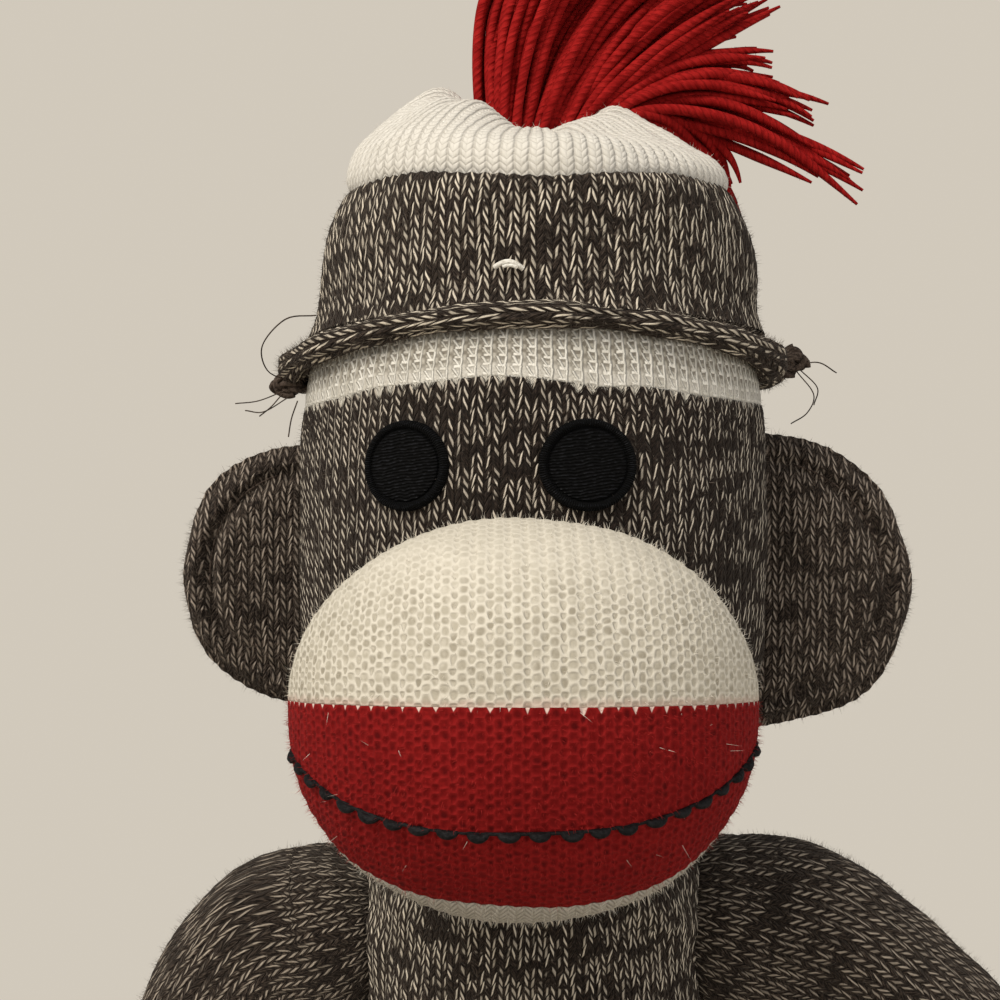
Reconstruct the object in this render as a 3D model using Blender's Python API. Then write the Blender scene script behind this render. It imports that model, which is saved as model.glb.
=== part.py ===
# Sock monkey doll, seated: knitted covers, their stuffing, face, ears, knitted hat and tassel.
# Metres, +Z up. The doll faces -Y, its own left is +X, and the origin is the middle of its flat seat.
import math

import bmesh
import bpy
from mathutils import Matrix, Vector

# Cloth and fits
GAP = 0.0003
SOCKET_GAP = 0.0006
KNIT_WALL = 0.0016
CUT_OVERRUN = 0.012
WELD = 0.0000005
STUFFING_INSET = KNIT_WALL + GAP

# Body
BODY_HALF_WIDTH = 0.0400
BODY_HEIGHT = 0.1590
BODY_DEPTH_SHARE = 0.86
SEAT_CUT = 0.0005
NECK_HOLE_RADIUS = 0.006
BODY_SIDES = 22
BODY_RINGS = 14
# Half width against height, as shares of the widest half width and of the height
BODY_OUTLINE_SHARES = (
    (0.00, 0.000),
    (0.42, 0.001),
    (0.68, 0.008),
    (0.84, 0.040),
    (0.95, 0.110),
    (1.00, 0.230),
    (1.00, 0.380),
    (0.965, 0.520),
    (0.920, 0.660),
    (0.895, 0.780),
    (0.875, 0.860),
    (0.820, 0.920),
    (0.700, 0.960),
    (0.520, 0.985),
    (0.280, 0.997),
    (0.00, 1.000),
)
# Height shares between which the body grows from an oval to a round neck end
ROUND_FROM_SHARE = 0.80
ROUND_TO_SHARE = 0.95

# Seat patch, the knitted heel under and behind the body
PATCH_CENTRE_DEPTH = 0.034
PATCH_CENTRE_HEIGHT = 0.012
PATCH_HALF_WIDTH = 0.0250
PATCH_HALF_DEPTH = 0.0220
PATCH_HALF_HEIGHT = 0.0300

# Head and neck
NECK_RISE = 0.0135
NECK_PIVOT_HEIGHT = BODY_HEIGHT + NECK_RISE
NECK_BALL_RADIUS = 0.0240
HEAD_RADIUS = 0.0457
HEAD_RISE = 0.1165
HEAD_TOP_START = 0.0655
HEAD_SIDES = 22
HEAD_RINGS = 9
HEAD_TOP_RINGS = 7
NECK_ARC_STEPS = 4
NECK_ARC_END_SHARE = 0.86
# Radius against height above the neck pivot, as shares of the head's radius and rise
HEAD_OUTLINE_SHARES = (
    (0.530, -0.030),
    (0.640, -0.024),
    (0.760, -0.012),
    (0.870, 0.018),
    (0.950, 0.072),
    (0.985, 0.145),
    (0.998, 0.240),
    (1.000, 0.365),
    (0.996, 0.475),
    (0.980, 0.562),
    (0.946, 0.622),
    (0.890, 0.664),
    (0.864, 0.720),
    (0.850, 0.785),
    (0.795, 0.855),
    (0.688, 0.915),
    (0.525, 0.958),
    (0.300, 0.989),
    (0.000, 1.000),
)

# Gathered ring round the neck
GATHER_THICKNESS = 0.0032
GATHER_LOW_ANGLE = math.radians(51.5)
GATHER_HIGH_ANGLE = math.radians(67.0)
GATHER_STEPS = 4

# Muzzle
MUZZLE_CENTRE_X = -0.0028
MUZZLE_CENTRE_Y = -0.0500
MUZZLE_ABOVE_PIVOT = 0.0140
MUZZLE_CENTRE_HEIGHT = NECK_PIVOT_HEIGHT + MUZZLE_ABOVE_PIVOT
MUZZLE_HALF_WIDTH = 0.03675
MUZZLE_RISE = 0.0285
MUZZLE_DROP = 0.0345
MUZZLE_REACH = 0.0340
MUZZLE_BACK = 0.0160
MUZZLE_LINE_LIFT = 0.0045
MUZZLE_SEAM_GAP = 0.0006
MUZZLE_FILLING_ROOM = 0.0009
MUZZLE_FULLNESS = 2.2
MUZZLE_COLUMNS = 12
MUZZLE_ROWS = 7
RIM_BACK_ROWS = 4
RIM_ANGLE_SIDE = math.radians(102.0)
RIM_ANGLE_FRONT = math.radians(58.0)
RIM_ANGLE_POWER = 1.5
# Where the search for the line on which the muzzle meets the face starts and ends
EDGE_ANGLE_LOW = math.radians(60.0)
EDGE_ANGLE_HIGH = math.radians(176.0)
SEARCH_STEPS = 40
# Rings of the filling's back, as shares of the way out from its middle
FILLING_BACK_SHARES = (0.66, 0.33)
LIP_SEARCH_STEPS = 12
NORMAL_STEP = math.radians(0.6)

# Mouth stitches
STITCH_PITCH = 0.0031
STITCH_RADIUS = 0.00065
MOUTH_DROP = 0.0131
MOUTH_HEIGHT = MUZZLE_CENTRE_HEIGHT - MOUTH_DROP
MOUTH_CORNER_RISE = 0.0072
MOUTH_HALF_WIDTH = 0.0355
MOUTH_CURVE_POWER = 4
STITCH_THIN_SHARE = 0.55
POINTS_A_STITCH = 2
STITCH_SIDES = 4
MOUTH_SAMPLES = 60
STITCH_LIFT_SHARE = 0.25

# Eyes
EYE_RADIUS = 0.0080
EYE_THICKNESS = 0.0012
EYE_RIGHT_X = -0.0221
EYE_LEFT_X = 0.0079
EYE_ABOVE_PIVOT = 0.0512
EYE_HEIGHT = NECK_PIVOT_HEIGHT + EYE_ABOVE_PIVOT
EYE_SIDES = 20
EYE_RINGS = 2

# Ears, each with its own measured reach and height
EAR_LEFT_REACH = 0.0750
EAR_LEFT_HALF_HEIGHT = 0.0300
EAR_LEFT_ABOVE_PIVOT = 0.0290
EAR_RIGHT_REACH = 0.0692
EAR_RIGHT_HALF_HEIGHT = 0.0262
EAR_RIGHT_ABOVE_PIVOT = 0.0305
EAR_LEFT_MIDDLE = NECK_PIVOT_HEIGHT + EAR_LEFT_ABOVE_PIVOT
EAR_RIGHT_MIDDLE = NECK_PIVOT_HEIGHT + EAR_RIGHT_ABOVE_PIVOT
EAR_HALF_THICKNESS = 0.0048
EAR_SETBACK = 0.0030
EAR_CUP = 0.0025
EAR_ROUNDNESS = 2.3
EAR_SIDES = 14
EAR_RINGS = 6
EAR_ROOT_SHARES = (0.7, 0.35)
EAR_SEAM_GAP = 0.0007
EAR_LAST_SHARE = 0.965
EAR_EDGE_POWER = 0.5

# Hat
BAND_TOP_ABOVE_PIVOT = 0.0997
HAT_BAND_TOP = NECK_PIVOT_HEIGHT + BAND_TOP_ABOVE_PIVOT
HAT_BAND_RADIUS = 0.0428
HAT_BAND_WALL = 0.0026
HAT_SEAM_GAP = 0.0007
BRIM_RADIUS = 0.0021
BRIM_CORNER_RADIUS = 0.0033
BRIM_BELOW_TOP = 0.0238
BRIM_FRONT_HEIGHT = HAT_BAND_TOP - BRIM_BELOW_TOP
BRIM_SIDE_DROP = 0.0045
BRIM_CORNER_POWER = 8
BAND_ABOVE_BRIM_SHARE = 0.75
HAT_SIDES = 24
CROWN_SIDES = 25
ROLL_SAMPLES = 9
BAND_TAPER_POWER = 4
BRIM_SIDES = 8
BAND_RINGS = 5
CROWN_LOBES = 5
CROWN_LOBE_HEIGHT = 0.0012
CROWN_RADIUS = 0.0412
CROWN_RISE = 0.0270
CROWN_HOLE_RADIUS = 0.0022
# Radius against height above the band, from the band inwards to the rim of the hollow for the tassel
CROWN_OUTLINE_SHARES = (
    (1.000, 0.015),
    (0.990, 0.220),
    (0.945, 0.480),
    (0.860, 0.700),
    (0.745, 0.870),
    (0.610, 0.965),
    (0.480, 0.985),
    (0.375, 0.945),
)
CROWN_RINGS = 7
CROWN_HOLLOW_STEPS = 3
CROWN_LIP_SHARE = 0.72
# The lobes rise about this share of the way inwards and fade over the second share
LOBE_PLACE_SHARE = 0.45
LOBE_FADE_SHARE = 0.30
CROWN_SHIFT_RATE = 1.5
# The crown sags in front, between the band and this share of the way inwards
CROWN_SAG = 0.0090
CROWN_SAG_SHARE = 0.6
CROWN_SAG_POWER = 2

# Tack stitch on the hat band
TACK_X = -0.0051
TACK_BELOW_TOP = 0.0149
TACK_HEIGHT = HAT_BAND_TOP - TACK_BELOW_TOP
TACK_HALF_LENGTH = 0.0021
TACK_RADIUS = 0.0006
TACK_SIDES = 6
TACK_STEPS = 6

# Tassel
TASSEL_X = 0.0040
TASSEL_PIVOT_RISE = 0.0331
TASSEL_PIVOT_HEIGHT = HAT_BAND_TOP + TASSEL_PIVOT_RISE
TASSEL_ROOT_RADIUS = 0.0130
TASSEL_ROOT_DEPTH_SHARE = 0.78
TASSEL_ROOT_SIDES = 16
TASSEL_ROOT_RINGS = 8
TASSEL_LENGTH = 0.0850
LOCK_RADIUS = 0.0088
LOCK_TIP_RADIUS = 0.0011
LOCK_SIDES = 7
LOCK_RINGS = 8
LOCK_RISE_SHARE = 0.34
LOCK_LEAN_SHARE = 0.62
LOCK_SPREAD_SHARES = (0.05, 0.10)
LOCK_START_SHARE = 0.08
LOCK_START_DROP = 0.0006
# A lock's girth follows a half wave from the first share of it, over the second
LOCK_SWELL_SHARES = (0.25, 0.60)
LOCK_TAPER_POWER = 4
# Where each lock of yarn ends, from the pivot, as shares of the tassel's length
LOCK_TIP_SHARES = (
    (0.46, -0.06, 0.08),
    (0.61, -0.10, -0.16),
    (0.68, 0.03, -0.32),
    (0.50, 0.20, -0.40),
    (0.41, 0.10, -0.05),
    (0.57, 0.22, -0.24),
    (0.36, 0.30, -0.14),
)

# Arms
SHOULDER_HALF_WIDTH = 0.0420
SHOULDER_DROP = 0.0280
SHOULDER_HEIGHT = BODY_HEIGHT - SHOULDER_DROP
ARM_LENGTH = 0.1900
ARM_RADIUS = 0.0175
ARM_CUFF_SHARE = 0.76
# Way of each arm from its shoulder: outwards, along Y and up, as shares of its length
ARM_LEFT_WAY_SHARES = (
    (0.000, 0.000, 0.000),
    (0.074, 0.000, -0.023),
    (0.153, -0.004, -0.071),
    (0.208, -0.014, -0.123),
    (0.258, -0.030, -0.195),
    (0.295, -0.056, -0.295),
    (0.315, -0.098, -0.405),
    (0.320, -0.172, -0.512),
    (0.314, -0.270, -0.578),
    (0.302, -0.385, -0.597),
)
ARM_RIGHT_WAY_SHARES = (
    (0.000, 0.000, 0.000),
    (0.050, 0.000, -0.018),
    (0.095, -0.002, -0.092),
    (0.120, -0.014, -0.210),
    (0.143, -0.042, -0.326),
    (0.161, -0.090, -0.442),
    (0.174, -0.180, -0.542),
    (0.174, -0.302, -0.588),
    (0.163, -0.430, -0.597),
)
# Radius along an arm, as shares of its length and of its radius
ARM_GIRTH_SHARES = (
    (0.00, 1.00),
    (0.16, 1.03),
    (0.40, 0.97),
    (0.64, 0.91),
    (0.76, 0.90),
    (0.90, 1.03),
    (1.00, 1.03),
)
ARM_SIDES = 12
ARM_RINGS = 12

# Legs
HIP_HALF_WIDTH = 0.0220
HIP_SETBACK = -0.0280
HIP_HEIGHT = 0.0200
LEG_LENGTH = 0.1960
LEG_RADIUS = 0.0205
LEG_ANKLE_SHARE = 0.74
LEG_WAY_SHARES = (
    (0.000, 0.000, 0.000),
    (0.010, -0.112, 0.000),
    (0.026, -0.255, -0.002),
    (0.046, -0.434, -0.008),
    (0.064, -0.602, -0.010),
    (0.082, -0.765, -0.006),
    (0.097, -0.893, 0.000),
)
LEG_GIRTH_SHARES = (
    (0.00, 1.00),
    (0.20, 1.00),
    (0.45, 0.94),
    (0.66, 0.89),
    (0.76, 0.89),
    (0.90, 1.00),
    (1.00, 1.00),
)
LEG_SIDES = 12
LEG_RINGS = 9
LAP_ANGLE = math.radians(45.0)
LAP_STEPS = 6

# Tail
TAIL_SETBACK = 0.0395
TAIL_HEIGHT = 0.0150
TAIL_LENGTH = 0.2450
TAIL_RADIUS = 0.0090
TAIL_TIP_SHARE = 0.86
TAIL_WAY_SHARES = (
    (0.000, 0.000, 0.000),
    (0.000, 0.050, -0.012),
    (0.004, 0.100, -0.024),
    (0.016, 0.180, -0.0265),
    (0.045, 0.270, -0.0265),
    (0.095, 0.345, -0.0265),
    (0.160, 0.385, -0.0265),
    (0.225, 0.372, -0.0265),
    (0.262, 0.315, -0.0265),
    (0.270, 0.225, -0.0265),
    (0.262, 0.135, -0.0265),
)
TAIL_GIRTH_SHARES = ((0.0, 0.88), (0.10, 0.94), (0.25, 1.0), (0.80, 1.0), (1.0, 0.98))
TAIL_SIDES = 8
TAIL_RINGS = 14

# Pivots of the joints
NECK_PIVOT = Vector((0, 0, NECK_PIVOT_HEIGHT))
TASSEL_PIVOT = Vector((TASSEL_X, 0, TASSEL_PIVOT_HEIGHT))
TAIL_PIVOT = Vector((0, TAIL_SETBACK, TAIL_HEIGHT))

CAP_STEPS = 3
SOCKET_SEGMENTS = 20
SOCKET_RINGS = 10
CURVE_SAMPLES = 24
PARALLEL_COSINE = 0.9

MARL = ("marl_knit", (0.075, 0.055, 0.048, 1.0), 0.95)
CREAM = ("cream_knit", (0.68, 0.62, 0.50, 1.0), 0.95)
WHITE = ("white_knit", (0.70, 0.69, 0.64, 1.0), 0.95)
RED = ("red_knit", (0.40, 0.012, 0.012, 1.0), 0.95)
RED_YARN = ("red_yarn", (0.34, 0.008, 0.008, 1.0), 0.90)
BLACK = ("black_thread", (0.006, 0.007, 0.009, 1.0), 0.60)
FILLING = ("polyester_stuffing", (0.80, 0.80, 0.78, 1.0), 1.0)


def clear_scene():
    for obj in list(bpy.data.objects):
        bpy.data.objects.remove(obj, do_unlink=True)


def finish(name, bm, look):
    # Points that meet at a pole become one, then every face turns outwards.
    bmesh.ops.remove_doubles(bm, verts=bm.verts, dist=WELD)
    bmesh.ops.recalc_face_normals(bm, faces=bm.faces)
    mesh = bpy.data.meshes.new(name)
    bm.to_mesh(mesh)
    bm.free()
    mesh.shade_smooth()
    obj = bpy.data.objects.new(name, mesh)
    bpy.context.scene.collection.objects.link(obj)
    if look is None:
        obj.hide_render = True
        obj.display_type = "WIRE"
        return obj
    finish_name, colour, roughness = look
    material = bpy.data.materials.new(name + "_" + finish_name)
    material.use_nodes = True
    shader = material.node_tree.nodes["Principled BSDF"]
    shader.inputs["Base Color"].default_value = colour
    shader.inputs["Roughness"].default_value = roughness
    shader.inputs["Metallic"].default_value = 0.0
    mesh.materials.append(material)
    return obj


def lofted(name, rings, look, loop=False, start=None, end=None):
    bm = bmesh.new()
    rows = [[bm.verts.new(point) for point in ring] for ring in rings]
    pairs = list(zip(rows, rows[1:]))
    if loop:
        pairs.append((rows[-1], rows[0]))
    for low, high in pairs:
        for i in range(len(low)):
            j = (i + 1) % len(low)
            bm.faces.new((low[i], low[j], high[j], high[i]))
    for row, pole in ((rows[0], start), (rows[-1], end)):
        if pole is not None:
            tip = bm.verts.new(pole)
            for i in range(len(row)):
                bm.faces.new((row[i], row[(i + 1) % len(row)], tip))
    return finish(name, bm, look)


def thick_patch(name, outer, inner, look):
    # Two grids of points, rows by columns, joined all round their edges.
    bm = bmesh.new()
    tops = [[bm.verts.new(point) for point in row] for row in outer]
    backs = [[bm.verts.new(point) for point in row] for row in inner]
    last_row = len(tops) - 1
    last_column = len(tops[0]) - 1
    for grid in (tops, backs):
        for i in range(last_row):
            for j in range(last_column):
                bm.faces.new((grid[i][j], grid[i + 1][j], grid[i + 1][j + 1], grid[i][j + 1]))
    for i in range(last_row):
        for j in (0, last_column):
            bm.faces.new((tops[i][j], tops[i + 1][j], backs[i + 1][j], backs[i][j]))
    for j in range(last_column):
        for i in (0, last_row):
            bm.faces.new((tops[i][j], tops[i][j + 1], backs[i][j + 1], backs[i][j]))
    return finish(name, bm, look)


def boolean(obj, other, operation):
    modifier = obj.modifiers.new(operation.lower() + "_" + other.name, "BOOLEAN")
    modifier.operation = operation
    modifier.solver = "EXACT"
    modifier.object = other


def smooth_points(points):
    # A Catmull-Rom curve through the points, as many close samples.
    points = [Vector(point) for point in points]
    first = points[0] * 2 - points[1]
    last = points[-1] * 2 - points[-2]
    padded = [first] + points + [last]
    out = []
    for a, b, c, d in zip(padded, padded[1:], padded[2:], padded[3:]):
        for k in range(CURVE_SAMPLES):
            t = k / CURVE_SAMPLES
            square = (a * 2 - b * 5 + c * 4 - d) * t**2
            cube = (b * 3 - a - c * 3 + d) * t**3
            out.append((b * 2 + (c - a) * t + square + cube) / 2)
    return out + [points[-1]]


def lengths_along(points):
    run = [0]
    for a, b in zip(points, points[1:]):
        run.append(run[-1] + (b - a).length)
    return run


def point_at(points, run, distance):
    distance = min(max(distance, 0), run[-1])
    for k in range(1, len(run)):
        if run[k] >= distance:
            span = run[k] - run[k - 1]
            part = (distance - run[k - 1]) / span if span else 0
            return points[k - 1].lerp(points[k], part)
    return points[-1]


def evenly(points, count):
    run = lengths_along(points)
    return [point_at(points, run, run[-1] * k / (count - 1)) for k in range(count)]


def read_table(table, value):
    for (x0, y0), (x1, y1) in zip(table, table[1:]):
        if value <= x1:
            return y0 + (y1 - y0) * max(value - x0, 0) / (x1 - x0)
    return table[-1][1]


def inset_line(line, inset):
    # A turned outline of (radius, height), moved square to itself towards the inside.
    out = []
    for k, point in enumerate(line):
        before = line[max(k - 1, 0)]
        after = line[min(k + 1, len(line) - 1)]
        along = (after - before).normalized()
        moved = point + Vector((-along.y, along.x)) * inset
        if point.x == 0:
            moved = Vector((0, point.y - inset if k else point.y + inset))
        out.append(Vector((max(moved.x, 0), moved.y)))
    return out


def round_ring(radius, height, sides, x=0, depth_share=1):
    ring = []
    for k in range(sides):
        turn = math.tau * k / sides
        ring.append(Vector((x + radius * math.sin(turn), -radius * depth_share * math.cos(turn), height)))
    return ring


def sphere_cutter(name, centre, radius):
    rings = []
    for k in range(1, SOCKET_RINGS):
        turn = math.pi * k / SOCKET_RINGS
        ring = round_ring(radius * math.sin(turn), -radius * math.cos(turn), SOCKET_SEGMENTS)
        rings.append([centre + point for point in ring])
    up = Vector((0, 0, radius))
    return lofted(name, rings, None, start=centre - up, end=centre + up)


# Body

def body_line(inset):
    scale = BODY_HEIGHT + SEAT_CUT
    points = [(BODY_HALF_WIDTH * r, scale * z - SEAT_CUT, 0) for r, z in BODY_OUTLINE_SHARES]
    line = [Vector((max(p.x, 0), p.y)) for p in evenly(smooth_points(points), BODY_RINGS)]
    line[0].x = 0
    line[-1].x = 0
    return inset_line(line, inset)


def body_depth_share(height):
    low = ROUND_FROM_SHARE * BODY_HEIGHT
    high = ROUND_TO_SHARE * BODY_HEIGHT
    part = min(max((height - low) / (high - low), 0), 1)
    return BODY_DEPTH_SHARE + (1 - BODY_DEPTH_SHARE) * part * part * (3 - 2 * part)


def body_solid(name, inset, look):
    line = body_line(inset)
    rings = []
    for point in line[1:-1]:
        height = max(point.y, inset)
        rings.append(round_ring(point.x, height, BODY_SIDES, 0, body_depth_share(point.y)))
    bottom = Vector((0, 0, inset))
    top = Vector((0, 0, line[-1].y))
    solid = lofted(name, rings, look, start=bottom, end=top)
    for tool in body_tools(name, inset):
        boolean(solid, tool, "DIFFERENCE")
    return solid


def shoulder_pivot(sign):
    return Vector((sign * SHOULDER_HALF_WIDTH, 0, SHOULDER_HEIGHT))


def body_tools(name, inset):
    # The hollows that the neck, the arms, the legs and the tail seat in, each deeper by the inset.
    reach = SOCKET_GAP + inset
    tools = [
        sphere_cutter(name + "_neck_tool", NECK_PIVOT, NECK_BALL_RADIUS + reach),
        sphere_cutter(name + "_tail_tool", TAIL_PIVOT, TAIL_RADIUS * TAIL_GIRTH_SHARES[0][1] + reach),
        lap_cutter(name + "_lap_tool", LEG_RADIUS + reach),
    ]
    for side, sign in (("left", 1), ("right", -1)):
        pivot = shoulder_pivot(sign)
        tools.append(sphere_cutter(name + "_arm_" + side + "_tool", pivot, ARM_RADIUS + reach))
    return tools


def lap_cutter(name, radius):
    # The lap: a round seat for both hips, then a plane that leaves room for raised thighs.
    far = 2 * BODY_HALF_WIDTH
    outline = [(HIP_SETBACK - far, -CUT_OVERRUN), (HIP_SETBACK + radius, -CUT_OVERRUN)]
    for k in range(LAP_STEPS + 1):
        turn = LAP_ANGLE * k / LAP_STEPS
        outline.append((HIP_SETBACK + radius * math.cos(turn), HIP_HEIGHT + radius * math.sin(turn)))
    y, z = outline[-1]
    outline.append((HIP_SETBACK - far, z + (y - HIP_SETBACK + far) * math.tan(math.pi / 2 - LAP_ANGLE)))
    bm = bmesh.new()
    face = bm.faces.new([bm.verts.new((-far, y, z)) for y, z in outline])
    pulled = bmesh.ops.extrude_face_region(bm, geom=[face])["geom"]
    moved = [part for part in pulled if isinstance(part, bmesh.types.BMVert)]
    bmesh.ops.translate(bm, verts=moved, vec=(2 * far, 0, 0))
    return finish(name, bm, None)


def patch_cutter(name, grow):
    centre = Vector((0, PATCH_CENTRE_DEPTH, PATCH_CENTRE_HEIGHT))
    rings = []
    for k in range(1, SOCKET_RINGS):
        turn = math.pi * k / SOCKET_RINGS
        ring = []
        for point in round_ring(math.sin(turn), -math.cos(turn), SOCKET_SEGMENTS):
            ring.append(
                centre
                + Vector(
                    (
                        point.x * (PATCH_HALF_WIDTH + grow),
                        point.y * (PATCH_HALF_DEPTH + grow),
                        point.z * (PATCH_HALF_HEIGHT + grow),
                    )
                )
            )
        rings.append(ring)
    up = Vector((0, 0, PATCH_HALF_HEIGHT + grow))
    return lofted(name, rings, None, start=centre - up, end=centre + up)


def make_body():
    cavity = body_solid("body_cavity", KNIT_WALL, None)
    hole_low = NECK_PIVOT_HEIGHT - NECK_BALL_RADIUS - CUT_OVERRUN
    rings = [
        round_ring(NECK_HOLE_RADIUS, hole_low, BODY_SIDES),
        round_ring(NECK_HOLE_RADIUS, NECK_PIVOT_HEIGHT, BODY_SIDES),
    ]
    ends = [Vector((0, 0, hole_low)), Vector((0, 0, NECK_PIVOT_HEIGHT))]
    hole = lofted("neck_hole_tool", rings, None, start=ends[0], end=ends[1])
    cover = body_solid("body_cover", 0, MARL)
    boolean(cover, cavity, "DIFFERENCE")
    boolean(cover, hole, "DIFFERENCE")
    boolean(cover, patch_cutter("patch_room_tool", GAP), "DIFFERENCE")
    patch = body_solid("seat_patch", 0, RED)
    boolean(patch, cavity, "DIFFERENCE")
    boolean(patch, patch_cutter("patch_shape_tool", 0), "INTERSECT")
    body_solid("body_stuffing", STUFFING_INSET, FILLING)


# Head

def head_line():
    # From the rim of the neck hole, over the neck's ball, out under the cheeks and up to the crown.
    line = []
    low = math.asin(NECK_HOLE_RADIUS / NECK_BALL_RADIUS)
    high = NECK_ARC_END_SHARE * math.pi / 2
    for k in range(NECK_ARC_STEPS + 1):
        turn = low + (high - low) * k / NECK_ARC_STEPS
        height = NECK_PIVOT_HEIGHT - NECK_BALL_RADIUS * math.cos(turn)
        line.append(Vector((NECK_BALL_RADIUS * math.sin(turn), height)))
    points = [(HEAD_RADIUS * r, NECK_PIVOT_HEIGHT + HEAD_RISE * z, 0) for r, z in HEAD_OUTLINE_SHARES]
    dense = [Vector((max(p.x, 0), p.y)) for p in smooth_points(points)]
    dense[-1].x = 0
    return line, dense


def split_line(dense, height):
    low = [point for point in dense if point.y < height]
    high = [point for point in dense if point.y > height]
    a, b = low[-1], high[0]
    cut = a.lerp(b, (height - a.y) / (b.y - a.y))
    return low + [cut], [cut] + high


NECK_LINE, HEAD_DENSE = head_line()


def head_radius(height):
    # The cover's outer radius at a height, read from the neck upwards.
    line = NECK_LINE + HEAD_DENSE
    if height <= line[0].y:
        return line[0].x
    for a, b in zip(line, line[1:]):
        if a.y <= height <= b.y and b.y > a.y:
            return a.x + (b.x - a.x) * (height - a.y) / (b.y - a.y)
    return 0


def shell_of_turns(name, line, look, closed_top, sides):
    inner = inset_line(line, KNIT_WALL)
    # The edge where two colours meet is cut level.
    edge = 0 if closed_top else -1
    inner[edge].y = line[edge].y
    outer_rings = [round_ring(p.x, p.y, sides) for p in line]
    inner_rings = [round_ring(p.x, p.y, sides) for p in inner]
    if not closed_top:
        return lofted(name, outer_rings + inner_rings[::-1], look, loop=True)
    # The open edge comes last, so the two poles are the ends of one loft.
    outer_pole = Vector((0, 0, line[-1].y))
    inner_pole = Vector((0, 0, inner[-1].y))
    rings = outer_rings[:-1][::-1] + inner_rings[:-1]
    return lofted(name, rings, look, start=outer_pole, end=inner_pole)


def make_head():
    split = NECK_PIVOT_HEIGHT + HEAD_TOP_START
    low, high = split_line(HEAD_DENSE, split)
    low = evenly([Vector((p.x, p.y, 0)) for p in low], HEAD_RINGS)
    high = evenly([Vector((p.x, p.y, 0)) for p in high], HEAD_TOP_RINGS)
    low = NECK_LINE + [Vector((p.x, p.y)) for p in low]
    high = [Vector((p.x, p.y + GAP if k == 0 else p.y)) for k, p in enumerate(high)]
    high[-1].x = 0
    shell_of_turns("head_cover", low, MARL, False, HEAD_SIDES)
    shell_of_turns("head_top", high, WHITE, True, HEAD_SIDES)
    filling = inset_line(low[:-1] + high, STUFFING_INSET)
    rings = [round_ring(p.x, p.y, HEAD_SIDES) for p in filling[:-1]]
    bottom = Vector((0, 0, filling[0].y))
    lofted("head_stuffing", rings, FILLING, start=bottom, end=Vector((0, 0, filling[-1].y)))


def make_neck_gather():
    near = NECK_BALL_RADIUS + SOCKET_GAP
    section = []
    for k in range(GATHER_STEPS + 1):
        turn = GATHER_LOW_ANGLE + (GATHER_HIGH_ANGLE - GATHER_LOW_ANGLE) * k / GATHER_STEPS
        section.append((near, turn))
    for k in range(1, GATHER_STEPS):
        part = 1 - k / GATHER_STEPS
        turn = GATHER_LOW_ANGLE + (GATHER_HIGH_ANGLE - GATHER_LOW_ANGLE) * part
        section.append((near + GATHER_THICKNESS * math.sin(math.pi * part), turn))
    rings = []
    for radius, turn in section:
        height = NECK_PIVOT_HEIGHT - radius * math.cos(turn)
        rings.append(round_ring(radius * math.sin(turn), height, HEAD_SIDES))
    lofted("neck_gather", rings, MARL, loop=True)


# Muzzle

def muzzle_point(angle, turn, inset=0):
    # Angle is from the front of the muzzle, turn goes round it from +X over the top.
    across = math.cos(turn)
    up = math.sin(turn)
    height = MUZZLE_RISE - inset
    if up < 0:
        height = MUZZLE_DROP - inset
        across = math.copysign(abs(across) ** (2 / MUZZLE_FULLNESS), across)
        up = -(abs(up) ** (2 / MUZZLE_FULLNESS))
    depth = MUZZLE_REACH - inset if angle < math.pi / 2 else MUZZLE_BACK - inset
    lift = MUZZLE_LINE_LIFT * max(math.cos(angle), 0)
    return Vector(
        (
            MUZZLE_CENTRE_X + (MUZZLE_HALF_WIDTH - inset) * math.sin(angle) * across,
            MUZZLE_CENTRE_Y - depth * math.cos(angle),
            MUZZLE_CENTRE_HEIGHT + height * math.sin(angle) * up + lift,
        )
    )


def face_gap(point):
    return math.hypot(point.x, point.y) - head_radius(point.z) - MUZZLE_SEAM_GAP


def muzzle_edge(turn, inset):
    # The angle at which the muzzle meets the face.
    low, high = EDGE_ANGLE_LOW, EDGE_ANGLE_HIGH
    for _ in range(SEARCH_STEPS):
        middle = (low + high) / 2
        if face_gap(muzzle_point(middle, turn, inset)) > 0:
            low = middle
        else:
            high = middle
    return low


def muzzle_grid(turns, first, last, rows, inset, shift):
    grid = []
    for i in range(rows):
        row = []
        for turn in turns:
            a = first(turn, inset)
            b = last(turn, inset)
            point = muzzle_point(a + (b - a) * i / (rows - 1), turn, inset)
            row.append(point + Vector((0, 0, shift)))
        grid.append(row)
    return grid


def rim_angle(turn, inset):
    return RIM_ANGLE_SIDE + (RIM_ANGLE_FRONT - RIM_ANGLE_SIDE) * abs(math.sin(turn)) ** RIM_ANGLE_POWER


def rim_start(turn, inset):
    return rim_angle(turn, inset) + 2 * GAP / MUZZLE_REACH


def front_angle(turn, inset):
    return 0


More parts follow.
